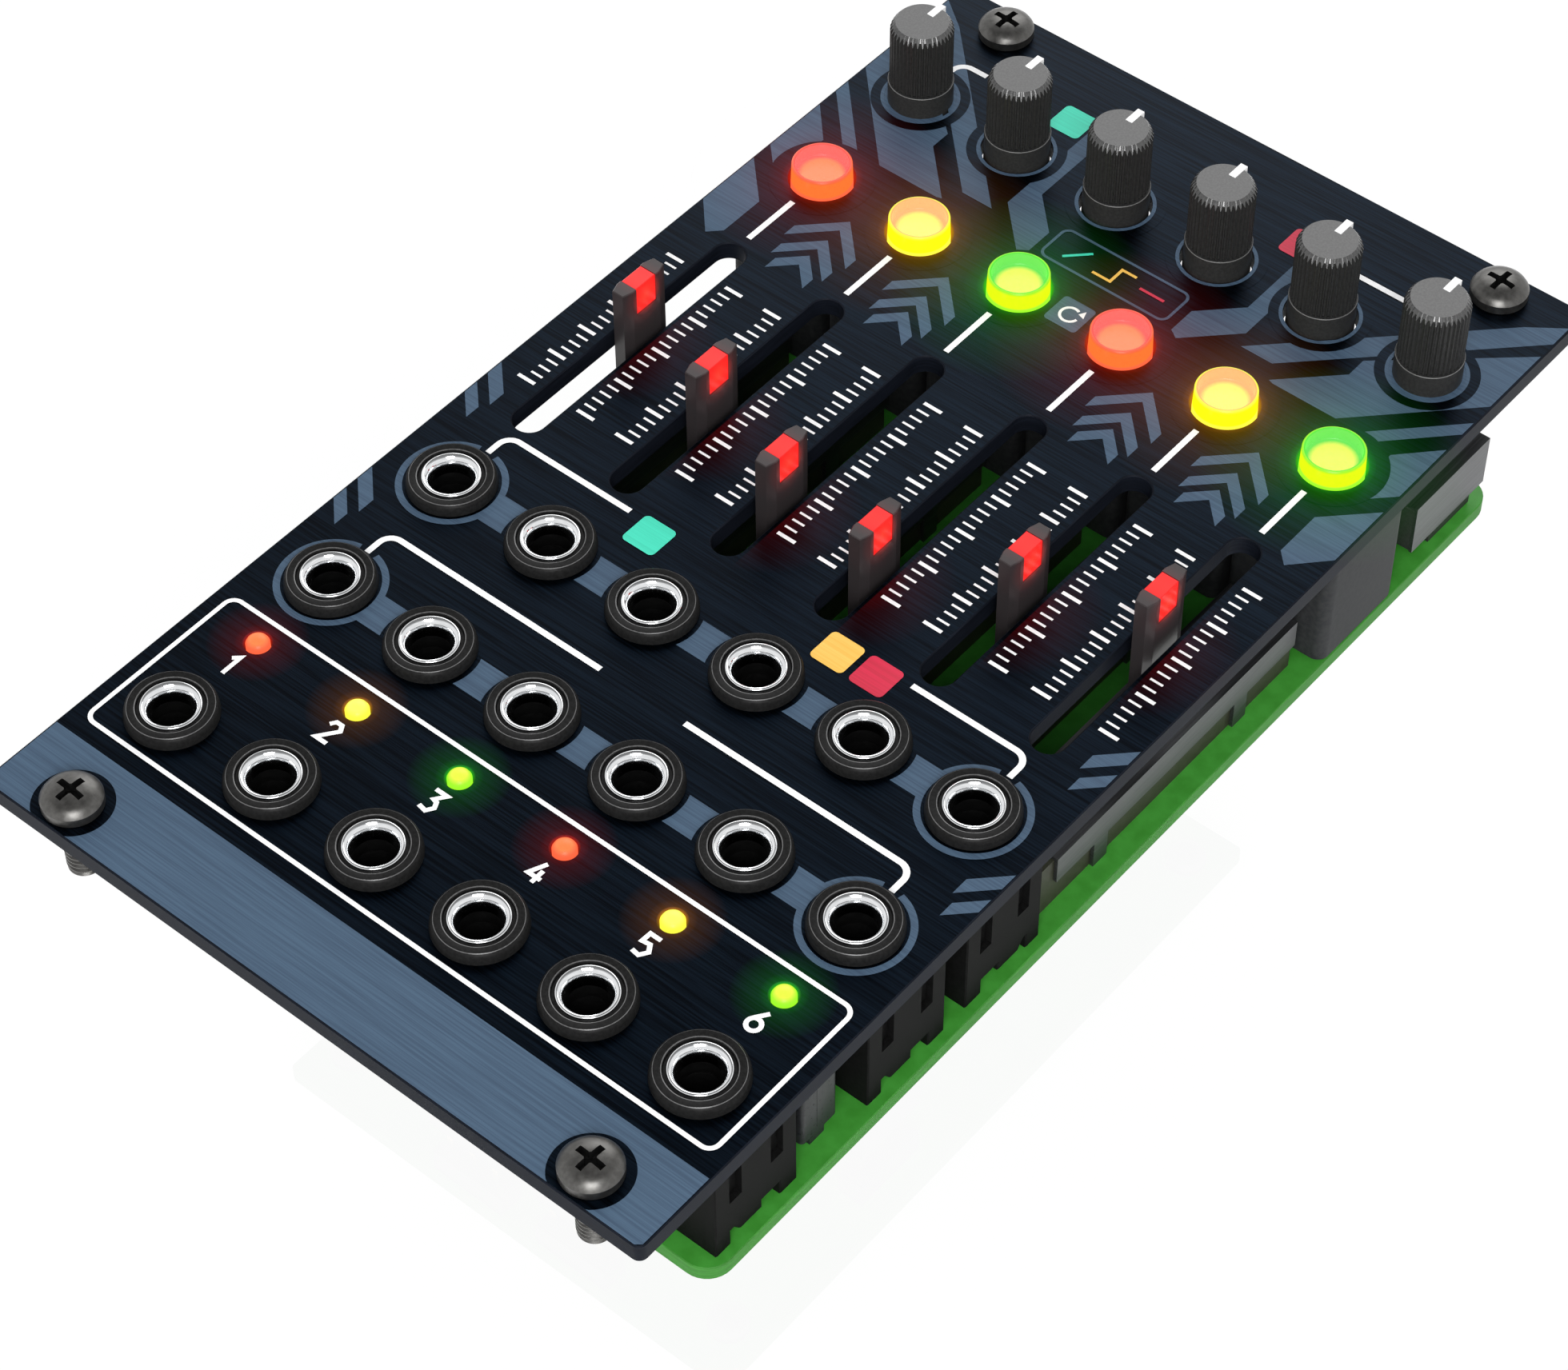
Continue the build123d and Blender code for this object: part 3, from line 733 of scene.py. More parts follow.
    def carve(self, cutter: Form) -> Form:
        """Cut another form's solids out of this one.

        Args:
            cutter: The form to take away. It is used up.

        Returns:
            This form.
        """
        solid = self.object("carved")
        tool = cutter.object("cutter")
        for piece in (solid, tool):
            bpy.context.scene.collection.objects.link(piece)
        cut = solid.modifiers.new("cut", "BOOLEAN")
        cut.operation = "DIFFERENCE"
        cut.solver = "EXACT"
        cut.object = tool
        result = bpy.data.meshes.new_from_object(solid.evaluated_get(bpy.context.evaluated_depsgraph_get()))
        self.mesh = bmesh.new()
        self.mesh.from_mesh(result)
        bmesh.ops.scale(self.mesh, verts=self.mesh.verts, vec=(1 / MM, 1 / MM, 1 / MM))
        for piece in (solid, tool):
            bpy.data.objects.remove(piece)
        return self

    def turn(self, angle: float, axis: str = "Z") -> Form:
        """Turn the form.

        Args:
            angle: Angle in degrees.
            axis: Name of the axis.

        Returns:
            This form.
        """
        matrix = Matrix.Rotation(math.radians(angle), 3, axis)
        bmesh.ops.rotate(self.mesh, verts=self.mesh.verts, matrix=matrix)
        return self

    def spread(self, places: Sequence[Point]) -> Form:
        """Repeat the form.

        Args:
            places: X and Y of every copy. The form itself moves to the first.

        Returns:
            This form.
        """
        geometry = self.mesh.verts[:] + self.mesh.edges[:] + self.mesh.faces[:]
        first = self.mesh.verts[:]
        for x, y in places[1:]:
            copy = bmesh.ops.duplicate(self.mesh, geom=geometry)
            verts = [item for item in copy["geom"] if isinstance(item, bmesh.types.BMVert)]
            bmesh.ops.translate(self.mesh, verts=verts, vec=(x, y, 0))
        bmesh.ops.translate(self.mesh, verts=first, vec=(*places[0], 0))
        return self

    def object(self, name: str) -> bpy.types.Object:
        """Turn the form into an object in metres that isn't in the scene yet.

        Args:
            name: Name of the object.

        Returns:
            The object. The form is used up.
        """
        bmesh.ops.remove_doubles(self.mesh, verts=self.mesh.verts, dist=0.0002)
        bmesh.ops.recalc_face_normals(self.mesh, faces=self.mesh.faces)
        for flat in self.mesh.faces:
            # A print has no underside, so its face is turned to the front
            if flat.normal.z < -0.99 and any(edge.is_boundary for edge in flat.edges):
                flat.normal_flip()
        bmesh.ops.scale(self.mesh, verts=self.mesh.verts, vec=(MM, MM, MM))
        mesh = bpy.data.meshes.new(name)
        self.mesh.to_mesh(mesh)
        self.mesh.free()
        return bpy.data.objects.new(name, mesh)


def inset(outline: Sequence[Point], width: float) -> list[Point]:
    """Move an anticlockwise outline inwards.

    Args:
        outline: The outline.
        width: Distance in millimetres.

    Returns:
        The inner outline, point for point.
    """
    count = len(outline)
    inner: list[Point] = []
    for index in range(count):
        before, here, after = (Vector(outline[(index + step) % count]) for step in (-1, 0, 1))
        first = (here - before).normalized()
        second = (after - here).normalized()
        side = Vector((-first.y - second.y, first.x + second.x))
        scale = width / max(0.3, (1 + first.dot(second)) / 2) / 2
        inner.append(tuple(here + side * scale))
    return inner


def stroke(form: Form, path: Sequence[Point], width: float, height: float, closed: bool = False) -> None:
    """Add a flat line of even width along a path.

    Args:
        form: Form that gets the line.
        path: Points of the line's middle.
        width: Line width in millimetres.
        height: Z of the line.
        closed: Whether the line returns to its start.
    """
    count = len(path)
    left: list[Vector] = []
    right: list[Vector] = []
    for index, point in enumerate(path):
        here = Vector(point)
        before = Vector(path[index - 1]) if closed or index else here
        after = Vector(path[(index + 1) % count]) if closed or index < count - 1 else here
        first = (here - before).normalized() if before != here else (after - here).normalized()
        second = (after - here).normalized() if after != here else first
        side = Vector((-first.y - second.y, first.x + second.x)).normalized()
        reach = width / 2 / max(0.4, side.dot(Vector((-first.y, first.x))))
        left.append(Vector((*(here + side * reach), height)))
        right.append(Vector((*(here - side * reach), height)))
    form.rings([left, right], closed=closed)


def show(
    form: Form, name: str, finishes: Sequence[Finish | FinishChoice], slot_name: str, body: str = "module",
    stands_for: Sequence[str] = (), place: Point = (0, 0), sharp: float = 32
) -> None:
    """Put a form into the scene as a piece of the module.

    Args:
        form: The form. It is used up.
        name: Name of the piece.
        finishes: Finishes, in the order of the form's finish numbers.
        slot_name: Material slot in the record; not used.
        body: Body that the piece rides on.
        stands_for: CAD nodes that the piece replaces.
        place: X and Y of the piece's own origin.
        sharp: Edges over this angle in degrees stay sharp.
    """
    piece = form.object(name)
    piece.location = (place[0] * MM, place[1] * MM, 0)
    for finish in finishes:
        piece.data.materials.append(finish.material())
    for face in piece.data.polygons:
        face.use_smooth = True
    piece.data.set_sharp_from_angle(angle=math.radians(sharp))
    bpy.context.scene.collection.objects.link(piece)
    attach(piece, body)
    if stands_for:
        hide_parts(*stands_for)
    log.info("%s: %d faces", name, len(piece.data.polygons))


def dress(nodes: dict[str, bpy.types.Object], name: str, finish: FinishChoice) -> None:
    """Give a CAD node, whose shape stays, its finish.

    Args:
        nodes: The CAD objects by name.
        name: Node to dress.
        finish: Its finish.
    """
    piece = nodes[name]
    if not piece.material_slots:
        piece.data.materials.append(None)
    for material_slot in piece.material_slots:
        material_slot.material = finish.material()
    log.info("%s dressed in %s", name, finish.value.name)


def row(height: float) -> list[Point]:
    """Return one place per column at a height on the panel."""
    return [(x, height) for x in COLUMNS]


UPPER_JACKS = row(-15.6)
MIDDLE_JACKS = row(-30.6)
LOWER_JACKS = row(-49.4)
ALL_JACKS = UPPER_JACKS + MIDDLE_JACKS + LOWER_JACKS
KNOBS = row(49.0)
BUTTONS = row(34.5)
SLIDERS = row(7.8)
LIGHTS = row(-39.4)
GLOWS = [list(Glow)[index % 3] for index in range(6)]
RACK_SCREWS = [(x, y) for x in (-27.94, 27.94) for y in (-61.25, 61.25)]


# Front panel

@dataclass
class FrontPanel:
    """Anodised plate with its openings and everything printed on it."""

    width: float = 70.8
    height: float = 128.5
    corner: float = 0.8
    ease: float = 0.12
    screw_hole: float = 1.65
    jack_hole: float = 3.0
    light_hole: float = 1.2
    button_hole: float = 3.15
    knob_hole: float = 3.38
    slot_size: Point = (3.2, 30.0)
    jack_ring: float = 4.62
    knob_ring: float = 3.58
    # Radii of the unprinted metal round the knobs, the buttons and the lower screws
    knob_clear: Point = (3.4, 4.7)
    button_clear: Point = (3.17, 5.0)
    screw_clear: Point = (1.7, 3.48)
    print_lift: float = 0.012
    line: float = 0.58
    fine_line: float = 0.42
    sign_line: float = 0.28

    def build(self) -> None:
        """Build the plate and the print."""
        self.plate()
        self.slate_print()
        self.bare_rings()
        self.white_print()
        self.scales()
        self.numerals()
        self.chips()

    def level(self, layer: int) -> float:
        """Return the Z of a print layer, counted from 1."""
        return PANEL_FRONT + self.print_lift * layer

    def lay(self, form: Form, name: str, finish: Panel) -> None:
        """Show a form as part of the panel's face."""
        show(form, name, [finish], "anodised_panel")

    def plate(self) -> None:
        """Build the plate."""
        outline = centred((self.width / 2, self.height / 2), self.corner)
        holes = [circle(self.screw_hole, place, 32) for place in RACK_SCREWS]
        holes += [circle(self.jack_hole, place, 48) for place in ALL_JACKS]
        holes += [circle(self.light_hole, place, 32) for place in LIGHTS]
        holes += [circle(self.button_hole, place) for place in BUTTONS]
        holes += [circle(self.knob_hole, place) for place in KNOBS]
        holes += [slot(place, *self.slot_size) for place in SLIDERS]
        form = Form().plate(outline, holes, 0, PANEL_FRONT, self.ease, 1)
        show(form, "panel_plate", [Panel.SHEET, Panel.EDGE], "anodised_panel", stands_for=["front_panel"])

    def motif(self) -> list[list[Point]]:
        """Return the plain slanted bands and chevrons of the panel's left half.

        Returns:
            Outlines of the shapes.
        """
        edge = self.width / 2 - 0.2
        shapes = [
            [(-edge, 57.0), (-edge, 49.0), (-25.6, 39.2), (-18.2, 39.2), (-23.4, 44.4), (-23.4, 46.6)],
            [(-edge, 61.6), (-edge, 59.0), (-22.0, 45.8), (-17.4, 41.2), (-14.0, 41.2), (-20.0, 47.2),
             (-32.0, 59.2)],
            [(-13.4, 56.6), (-9.6, 56.6), (-11.6, 54.6), (-11.6, 45.6), (-8.0, 42.0), (-8.0, 37.4),
             (-13.4, 42.8)],
            [(-edge, 46.4), (-edge, 44.6), (-29.6, 38.8), (-27.8, 38.8)],
            [(-edge, 42.2), (-edge, 35.0), (-33.4, 33.2), (-31.8, 34.8), (-31.8, 38.6)],
            [(-edge, 32.6), (-edge, 25.4), (-32.2, 22.2), (-31.0, 23.4), (-31.0, 28.4)],
        ]
        thick = 1.5
        for centre in (-2 * COLUMN_PITCH, -COLUMN_PITCH):
            for reach, top in ((3.6, 31.6), (3.0, 28.4), (2.2, 25.8)):
                upper = [(centre - reach, top - reach), (centre, top), (centre + reach, top - reach)]
                shapes.append(upper + [(x, y - thick) for x, y in upper[::-1]])
        for y in (-2.0, -18.6):
            shapes.append([(-edge, y), (-32.4, y - 2.8), (-32.4, y - 4.6), (-edge, y - 1.8)])
            shapes.append([(-edge, y - 3.2), (-33.0, y - 5.4), (-33.0, y - 7.0), (-edge, y - 4.8)])
        return shapes

    @staticmethod
    def link_bar(middle: Point, clear: float = 4.5, half_height: float = 1.75) -> list[Point]:
        """Return the bar between two jacks, its sides hollowed round the nuts.

        Args:
            middle: Centre of the bar.
            clear: Radius of the hollow round each jack.
            half_height: Half of the bar's height.

        Returns:
            The outline.
        """
        limit = math.asin(half_height / clear)
        turns = [limit * (step / 5 - 1) for step in range(11)]
        right = [(COLUMN_PITCH / 2 - clear * math.cos(turn), clear * math.sin(turn)) for turn in turns]
        return moved(right + [(-x, -y) for x, y in right], middle)

    def slate_print(self) -> None:
        """Print the band, the motif, the link bars and the end jacks' rings in slate."""
        form = Form()
        level = self.level(1)
        band = [(34.7, -64.1), (35.2, -63.7), (35.2, -56.1)]
        form.face(band + [(-x, y) for x, y in band[::-1]], level)
        for shape in self.motif():
            form.face(shape, level)
            form.face([(-x, y) for x, y in shape], level)
        for places in (UPPER_JACKS, MIDDLE_JACKS):
            for left, right in zip(places, places[1:]):
                form.face(self.link_bar(((left[0] + right[0]) / 2, left[1])), level)
            # The end jacks' rings stay open at the top, by 22 degrees
            for place in (places[0], places[-1]):
                stroke(form, arc(self.jack_ring, place, 101, 338, 60), 0.62, self.level(2))
        self.lay(form, "slate_print", Panel.SLATE)

    def bare_rings(self) -> None:
        """Keep the metal bare round the controls, and print the knobs' thin rings over it."""
        form = Form()
        level = self.level(2)
        keep_clear = [(place, self.knob_clear) for place in KNOBS]
        keep_clear += [(place, self.button_clear) for place in BUTTONS]
        keep_clear += [(place, self.screw_clear) for place in RACK_SCREWS if place[1] < 0]
        # The lower screws' rings end at the plate's edge
        lowest = -self.height / 2 + 0.15
        for centre, radii in keep_clear:
            form.rings([[Vector((x, max(y, lowest), level)) for x, y in circle(radius, centre)]
                        for radius in radii])
        self.lay(form, "bare_rings", Panel.SHEET)
        rings = Form()
        for place in KNOBS:
            stroke(rings, circle(self.knob_ring, place, 72), 0.35, self.level(3), closed=True)
        self.lay(rings, "knob_rings", Panel.SLATE)

    def white_print(self) -> None:
        """Print the brackets, the frames and the lines between buttons and sliders."""
        form = Form()
        level = self.level(3)
        side = 28.6
        brackets = [
            [(-side, 53.7), (-side, 55.2), (-25.5, 55.2)],
            [(16.9, 55.2), (side, 55.2), (side, 53.7)],
            [(-side, -11.0), (-side, -8.35), (-14.5, -8.35)],
            [(16.4, -8.35), (side, -8.35), (side, -11.0)],
            [(-side, -26.2), (-side, -23.4), (-4.6, -23.4)],
            [(4.6, -23.4), (side, -23.4), (side, -26.2)],
        ]
        for path in brackets:
            stroke(form, fillet(path, 1.3, closed=False), self.line, level)
        for x in COLUMNS:
            stroke(form, [(x, 24.0), (x, 30.3)], self.line, level)
        stroke(form, rectangle((-33.8, -54.25), (33.8, -37.05), 1.0), self.fine_line, level, closed=True)
        self.lay(form, "white_print", Panel.WHITE)
        frame = Form()
        stroke(frame, rectangle((-7.1, 39.3), (6.9, 43.5), 0.8), self.sign_line, level, closed=True)
        self.lay(frame, "legend_frame", Panel.SLATE)

    def scales(self, foot: float = -2.2, near: float = 2.5) -> None:
        """Print the scales beside the sliders, 1 mm apart, with longer marks at every fourth or fifth.

        Args:
            foot: Y of the lowest mark.
            near: Distance of the marks' inner ends from the slider's middle.
        """
        form = Form()
        for x in COLUMNS:
            for mark in range(21):
                y = foot + mark
                for side, spacing in ((1, 5), (-1, 4)):
                    far, half = (3.8, 0.12) if mark % spacing else (4.45, 0.19)
                    low, high = sorted((x + side * near, x + side * far))
                    form.face(rectangle((low, y - half), (high, y + half)), self.level(3))
        self.lay(form, "scale_print", Panel.WHITE)

    def numerals(self, high: float = 2.2, half: float = 0.62, base: float = -43.7) -> None:
        """Print the numbers 1 to 6 under the step lights.

        Args:
            high: Height of a number.
            half: Half of its width.
            base: Y of its foot.
        """
        lines: list[list[Point]] = [
            [(-0.45, high - 0.5), (0.1, high), (0.1, 0)],
            [(-half, high - 0.5), (-0.3, high), (0.3, high), (half, high - 0.55), (-half, 0), (half, 0)],
            [(-half, high), (half, high), (-0.05, 1.3), (0.35, 1.2), (half, 0.65), (0.2, 0), (-half, 0.15)],
            [(0.1, high), (-half, 0.62), (half + 0.1, 0.62)],
            [(half, high), (-0.5, high), (-0.55, 1.25), (0.2, 1.35), (half, 0.7), (0.15, 0), (-half, 0.1)],
            [(0.35, high), (-0.45, 1.1)],
        ]
        form = Form()
        for path, x in zip(lines, COLUMNS):
            stroke(form, moved(path, (x, base)), self.fine_line, self.level(3))
        # The second strokes of 4 and 6 lie a layer higher, so that no two faces share a plane
        stroke(form, moved([(0.28, 0), (0.28, 1.45)], (COLUMNS[3], base)), self.fine_line, self.level(4))
        stroke(form, circle(half, (COLUMNS[5], base + half), 20), self.fine_line, self.level(4), closed=True)
        self.lay(form, "numerals", Panel.WHITE)

    def chips(self, side: float = 3.5) -> None:
        """Print the small colour squares, the legend's three marks and the round arrow.

        Args:
            side: Side of a square.
        """
        level = self.level(3)
        squares = {
            Panel.TEAL: [(-13.15, -11.2), (-17.2, 53.5)],
            Panel.AMBER: [(7.6, -11.2)],
            Panel.CRIMSON: [(11.75, -11.2), (9.1, 53.5)],
        }
        marks = {
            Panel.TEAL: [(-5.2, 40.3), (-3.2, 42.3)],
            Panel.AMBER: [(-1.9, 40.4), (0.1, 40.4), (0.1, 42.3), (1.7, 42.3)],
            Panel.CRIMSON: [(2.7, 41.4), (5.4, 41.4)],
        }
        for ink, corners in squares.items():
            form = Form()
            for x, y in corners:
                form.face(rectangle((x, y), (x + side, y + side), 0.5), level)
            stroke(form, marks[ink], 0.3, level)
            self.lay(form, f"{ink.name.lower()}_print", ink)
        low = (-1.85, 33.0)
        slate = Form().face(rectangle(low, (low[0] + side, low[1] + side), 0.4), level)
        self.lay(slate, "loop_chip", Panel.SLATE)
        arrow = Form()
        stroke(arrow, arc(0.9, (-0.1, 34.7), 60, 290, 30), self.sign_line, self.level(4))
        arrow.face([(0.9, 35.9), (1.2, 35.0), (0.5, 35.2)], self.level(4))
        self.lay(arrow, "loop_arrow", Panel.WHITE)


# Rack screws

def cross_recess(solid: Form, top: float, reach: float, half_width: float) -> Form:
    """Punch a cross into a screw head and give its walls finish number 1, which paints shade in the cross.

    Args:
        solid: Screw on the Z axis, its head up.
        top: Z of the head's crown.
        reach: Half of the cross's length.
        half_width: Half of an arm's width.

    Returns:
        The same form.
    """
    floor = top - 0.7 * reach
    along = Form().block((reach, half_width), floor, top + 1)
    across = Form().block((half_width, reach), floor, top + 1)
    middle = 0.37 * reach
    core = Form().block((middle, middle), top - 0.85 * reach, top + 1)
    solid.carve(along).carve(across).carve(core.turn(45))
    for face in solid.mesh.faces:
        centre = face.calc_center_median()
        inside = max(abs(centre.x), abs(centre.y)) < 1.04 * reach and centre.z > top - reach
        if inside and (abs(face.normal.z) < 0.2 or centre.z < top - middle):
            face.material_index = 1
    return solid


def thread(
    tip: float, root: float, start: float, pitch: float, crests: int, falls: Sequence[float]
) -> list[Point]:
    """Return the profile of a screw thread, drawn as rings.

    Args:
        tip: Radius of the crests.
        root: Radius of the grooves.
        start: Z of the first crest's upper edge.
        pitch: Distance between crests.
        crests: Number of crests.
        falls: How far a crest's lower edge and its groove's two edges lie below its upper edge.

    Returns:
        Radius and Z of each point.
    """
    points: list[Point] = []
    for crest in range(crests):
        upper = start - crest * pitch
        lower, groove, groove_end = (upper - fall for fall in falls)
        points += [(tip, upper), (tip, lower), (root, groove), (root, groove_end)]
    return points


@dataclass
class RackScrews:
    """Four pan head screws with cross recesses."""

    head: float = 2.65
    head_height: float = 1.9
    shank: float = 1.5
    root: float = 1.25
    pitch: float = 0.5
    reach: float = 6.0
    cross: float = 1.35
    cross_arm: float = 0.3

    def build(self) -> None:
        """Build the screws."""
        top = PANEL_FRONT + self.head_height
        dome = [(0, top - 0.02), (1.1, top - 0.05), (1.9, top - 0.28), (2.4, top - 0.62),
                (self.head, top - 1.0)]
        seat = [(self.head, PANEL_FRONT + 0.1), (self.head - 0.1, PANEL_FRONT), (1.3, PANEL_FRONT),
                (1.3, 0.2), (self.shank, 0.0)]
        crests = thread(self.shank, self.root, -0.1, self.pitch, 11, (0.12, 0.3, 0.36))
        end = [(1.45, -5.7), (1.1, -self.reach), (0, -self.reach)]
        solid = Form().lathe(dome + seat + crests + end, steps=48)
        cross_recess(solid, top, self.cross, self.cross_arm).turn(-3).spread(RACK_SCREWS)
        show(solid, "pan_screws", [Metal.SCREW, Metal.RECESS], "dark_screw_steel", stands_for=["rack_screws"],
             sharp=28)


# Jacks

@dataclass
class Jacks:
    """Eighteen jacks: moulded housings, chromed bushings and round nuts."""

    width: float = 9.0
    short: float = 3.8
    long: float = 6.1
    bore: float = 1.8
    bottom: float = -11.3
    side_slot: float = 1.5
    side_slot_depth: float = 0.7
    bushing: float = 2.88
    nut: float = 4.04
    nut_bore: float = 2.92

    def housing(self) -> Form:
        """Return one housing with its feet, side slots and bore.

        Returns:
            The form, with the short side towards -Y.
        """
        top, waist, belly = -0.02, BOARD_TOP + 0.8, BOARD_TOP + 1.8
        outline = [(-self.short, top), (-self.short, BOARD_TOP), (-2.0, BOARD_TOP), (-2.0, belly),
                   (-1.6, belly), (-0.9, waist), (1.8, waist), (1.8, belly), (4.0, belly), (4.0, BOARD_TOP),
                   (self.long, BOARD_TOP), (self.long, top)]
        half = self.width / 2
        form = Form().prism(outline, -half, half, 0.12).turn(90, "X").turn(90)
        cutter = Form()
        for side in (-1, 1):
            low, high = sorted((side * (half - self.side_slot_depth), side * (half + 1)))
            for start in (-2.1, 2.9):
                cutter.box((low, start, -8.8), (high, start + self.side_slot, 1))
        hole = Form().lathe([(0, self.bottom), (self.bore, self.bottom), (self.bore, 2), (0, 2)], steps=48)
        return form.carve(cutter).carve(hole)

    def build(self) -> None:
        """Build all the jacks."""
        rows = (("upper", UPPER_JACKS, 180), ("middle", MIDDLE_JACKS, 0), ("lower", LOWER_JACKS, 0))
        for name, places, angle in rows:
            housings = self.housing().turn(angle).spread(places)
            show(housings, f"{name}_jack_housings", [Plastic.HOUSING], "moulded_housing",
                 stands_for=[f"{name}_jacks"])
        self.bushings()
        self.nuts()

    def bushings(self) -> None:
        """Build the bushings: a dark thread, a bright rounded mouth and a bore painted near black as painted
        shade.
        """
        top = PANEL_FRONT + 1.1
        profile = [(self.bushing, 0), (self.bushing, top - 0.34), (2.62, top - 0.34), (2.62, top - 0.12),
                   (2.56, top - 0.03), (2.46, top), (2.32, top - 0.05), (2.12, top - 0.25),
                   (1.95, top - 0.55), (1.84, top - 0.95), (self.bore, top - 1.5), (self.bore, top - 1.7),
                   (self.bore, 0), (self.bushing, 0)]
        form = Form().lathe(profile, [1] * 2 + [0] * 9 + [2] * 2, 72).spread(ALL_JACKS)
        show(form, "jack_bushings", [Metal.CHROME, Plastic.NUT, Plastic.BORE], "moulded_housing", sharp=40)

    def nuts(self) -> None:
        """Build the round nuts, their shoulder and inner rim painted lighter as highlight lines."""
        top = PANEL_FRONT + 1.05
        profile = [(self.nut_bore, PANEL_FRONT), (self.nut, PANEL_FRONT), (self.nut, PANEL_FRONT + 0.12),
                   (3.98, top - 0.5), (3.9, top - 0.26), (3.8, top - 0.12), (3.7, top - 0.05), (3.64, top),
                   (3.06, top), (2.97, top - 0.04), (self.nut_bore, top - 0.14), (self.nut_bore, PANEL_FRONT)]
        form = Form().lathe(profile, [0] * 6 + [1, 0, 1, 0, 0], 72).spread(ALL_JACKS)
        show(form, "round_nuts", [Plastic.NUT, Plastic.RIM_HIGHLIGHT], "black_nut", stands_for=["jack_nuts"],
             sharp=24)


# Rotary pots and knobs

@dataclass
class RotaryPots:
    """Six rotary pots and the splined shafts that serve as knobs."""

    teeth: int = 40
    tip: float = 2.97
    root: float = 2.76
    top: float = 11.18
    foot: float = 4.5
    foot_radius: float = 2.6
    crown_radius: float = 2.48
    shaft_end: float = -11.4
    half_width: float = 4.38
    collar: float = 3.1
    collar_bore: float = 2.56
    collar_top: float = 4.4

    def spline(self, at_root: float, at_tip: float) -> list[Vector]:
        """Return the toothed outline, four points a tooth.

        Args:
            at_root: Z of the teeth's roots.
            at_tip: Z of their tips.

        Returns:
            The points.
        """
        ring = []
        for step in range(self.teeth * 4):
            outside = step % 4 in (1, 2)
            radius = self.tip if outside else self.root
            turn = 2 * math.pi * (step + (0.2, 0.25, -0.25, -0.2)[step % 4]) / (self.teeth * 4)
            height = at_tip if outside else at_root
            ring.append(Vector((radius * math.cos(turn), radius * math.sin(turn), height)))
        return ring

    def knob(self) -> Form:
        """Return one splined shaft on its own axis.

        Returns:
            The form, its chamfer cutting each tooth to a point.
        """
        steps = self.teeth * 4
        foot = [Vector((x, y, self.foot)) for x, y in circle(self.foot_radius, steps=steps)]
        crown = [Vector((x, y, self.top)) for x, y in circle(self.crown_radius, steps=steps)]
        flanks = [self.spline(self.foot, self.foot), self.spline(self.top - 0.32, self.top - 0.75)]
        form = Form().rings([foot, *flanks, crown], [0, 0, 2])
        form.face([(point.x, point.y) for point in crown], self.top, 1)
        return form.lathe([(0, self.shaft_end), (2.45, self.shaft_end), (2.5, self.shaft_end + 0.1),
                           (2.5, self.foot), (self.foot_radius, self.foot)], steps=32)

    def body(self) -> Form:
        """Return one moulded base with its plug and its smooth collar.

        Returns:
            The form, the collar's rounded upper edge with finish number 1 as a painted highlight line.
        """
        half, low, high = self.half_width, -7.4, self.collar_top
        form = Form().box((-half, -6.6, -12.7), (half, 4.9, -7.42), 0.15)
        form.box((-half, -3.2, BOARD_TOP), (half, 3.3, -12.6), 0.1)
        collar = [(0, low), (self.collar, low), (self.collar, high - 0.08), (self.collar - 0.05, high - 0.02),
                  (self.collar - 0.12, high), (self.collar_bore, high), (self.collar_bore, low)]
        # The band at the collar's rounded upper edge is painted pale, as a painted highlight line
        return form.lathe(collar, [0, 0, 1, 0, 0, 0])

    def build(self, nodes: dict[str, bpy.types.Object]) -> None:
        """Build the pots and the knobs.

        Args:
            nodes: The CAD objects by name.
        """
        dress(nodes, "pot_covers", Metal.COVER)
        show(self.body().spread(KNOBS), "pot_bodies", [Plastic.KNOB, Plastic.KNOB_END_AND_HIGHLIGHT], "knob_plastic",
             stands_for=["pot_bases"])
        finishes = [Plastic.KNOB, Plastic.KNOB_END_AND_HIGHLIGHT, Plastic.CHAMFER]
        mark_outline = rectangle((-0.375, 1.1), (0.375, 3.05), 0.06, 3)
        for number, place in enumerate(KNOBS, 1):
            owner = f"knob_shaft_{number}"
            show(self.knob(), f"splined_knob_{number}", finishes, "knob_plastic", owner, [f"knob_{number}"],
                 place, sharp=20)
            mark = Form().prism(mark_outline, self.top - 2.38, self.top + 0.02, 0.03)
            show(mark, f"white_mark_{number}", [Plastic.POINTER], "pointer_white", owner,
                 [f"knob_pointer_{number}"], place)


# Push buttons

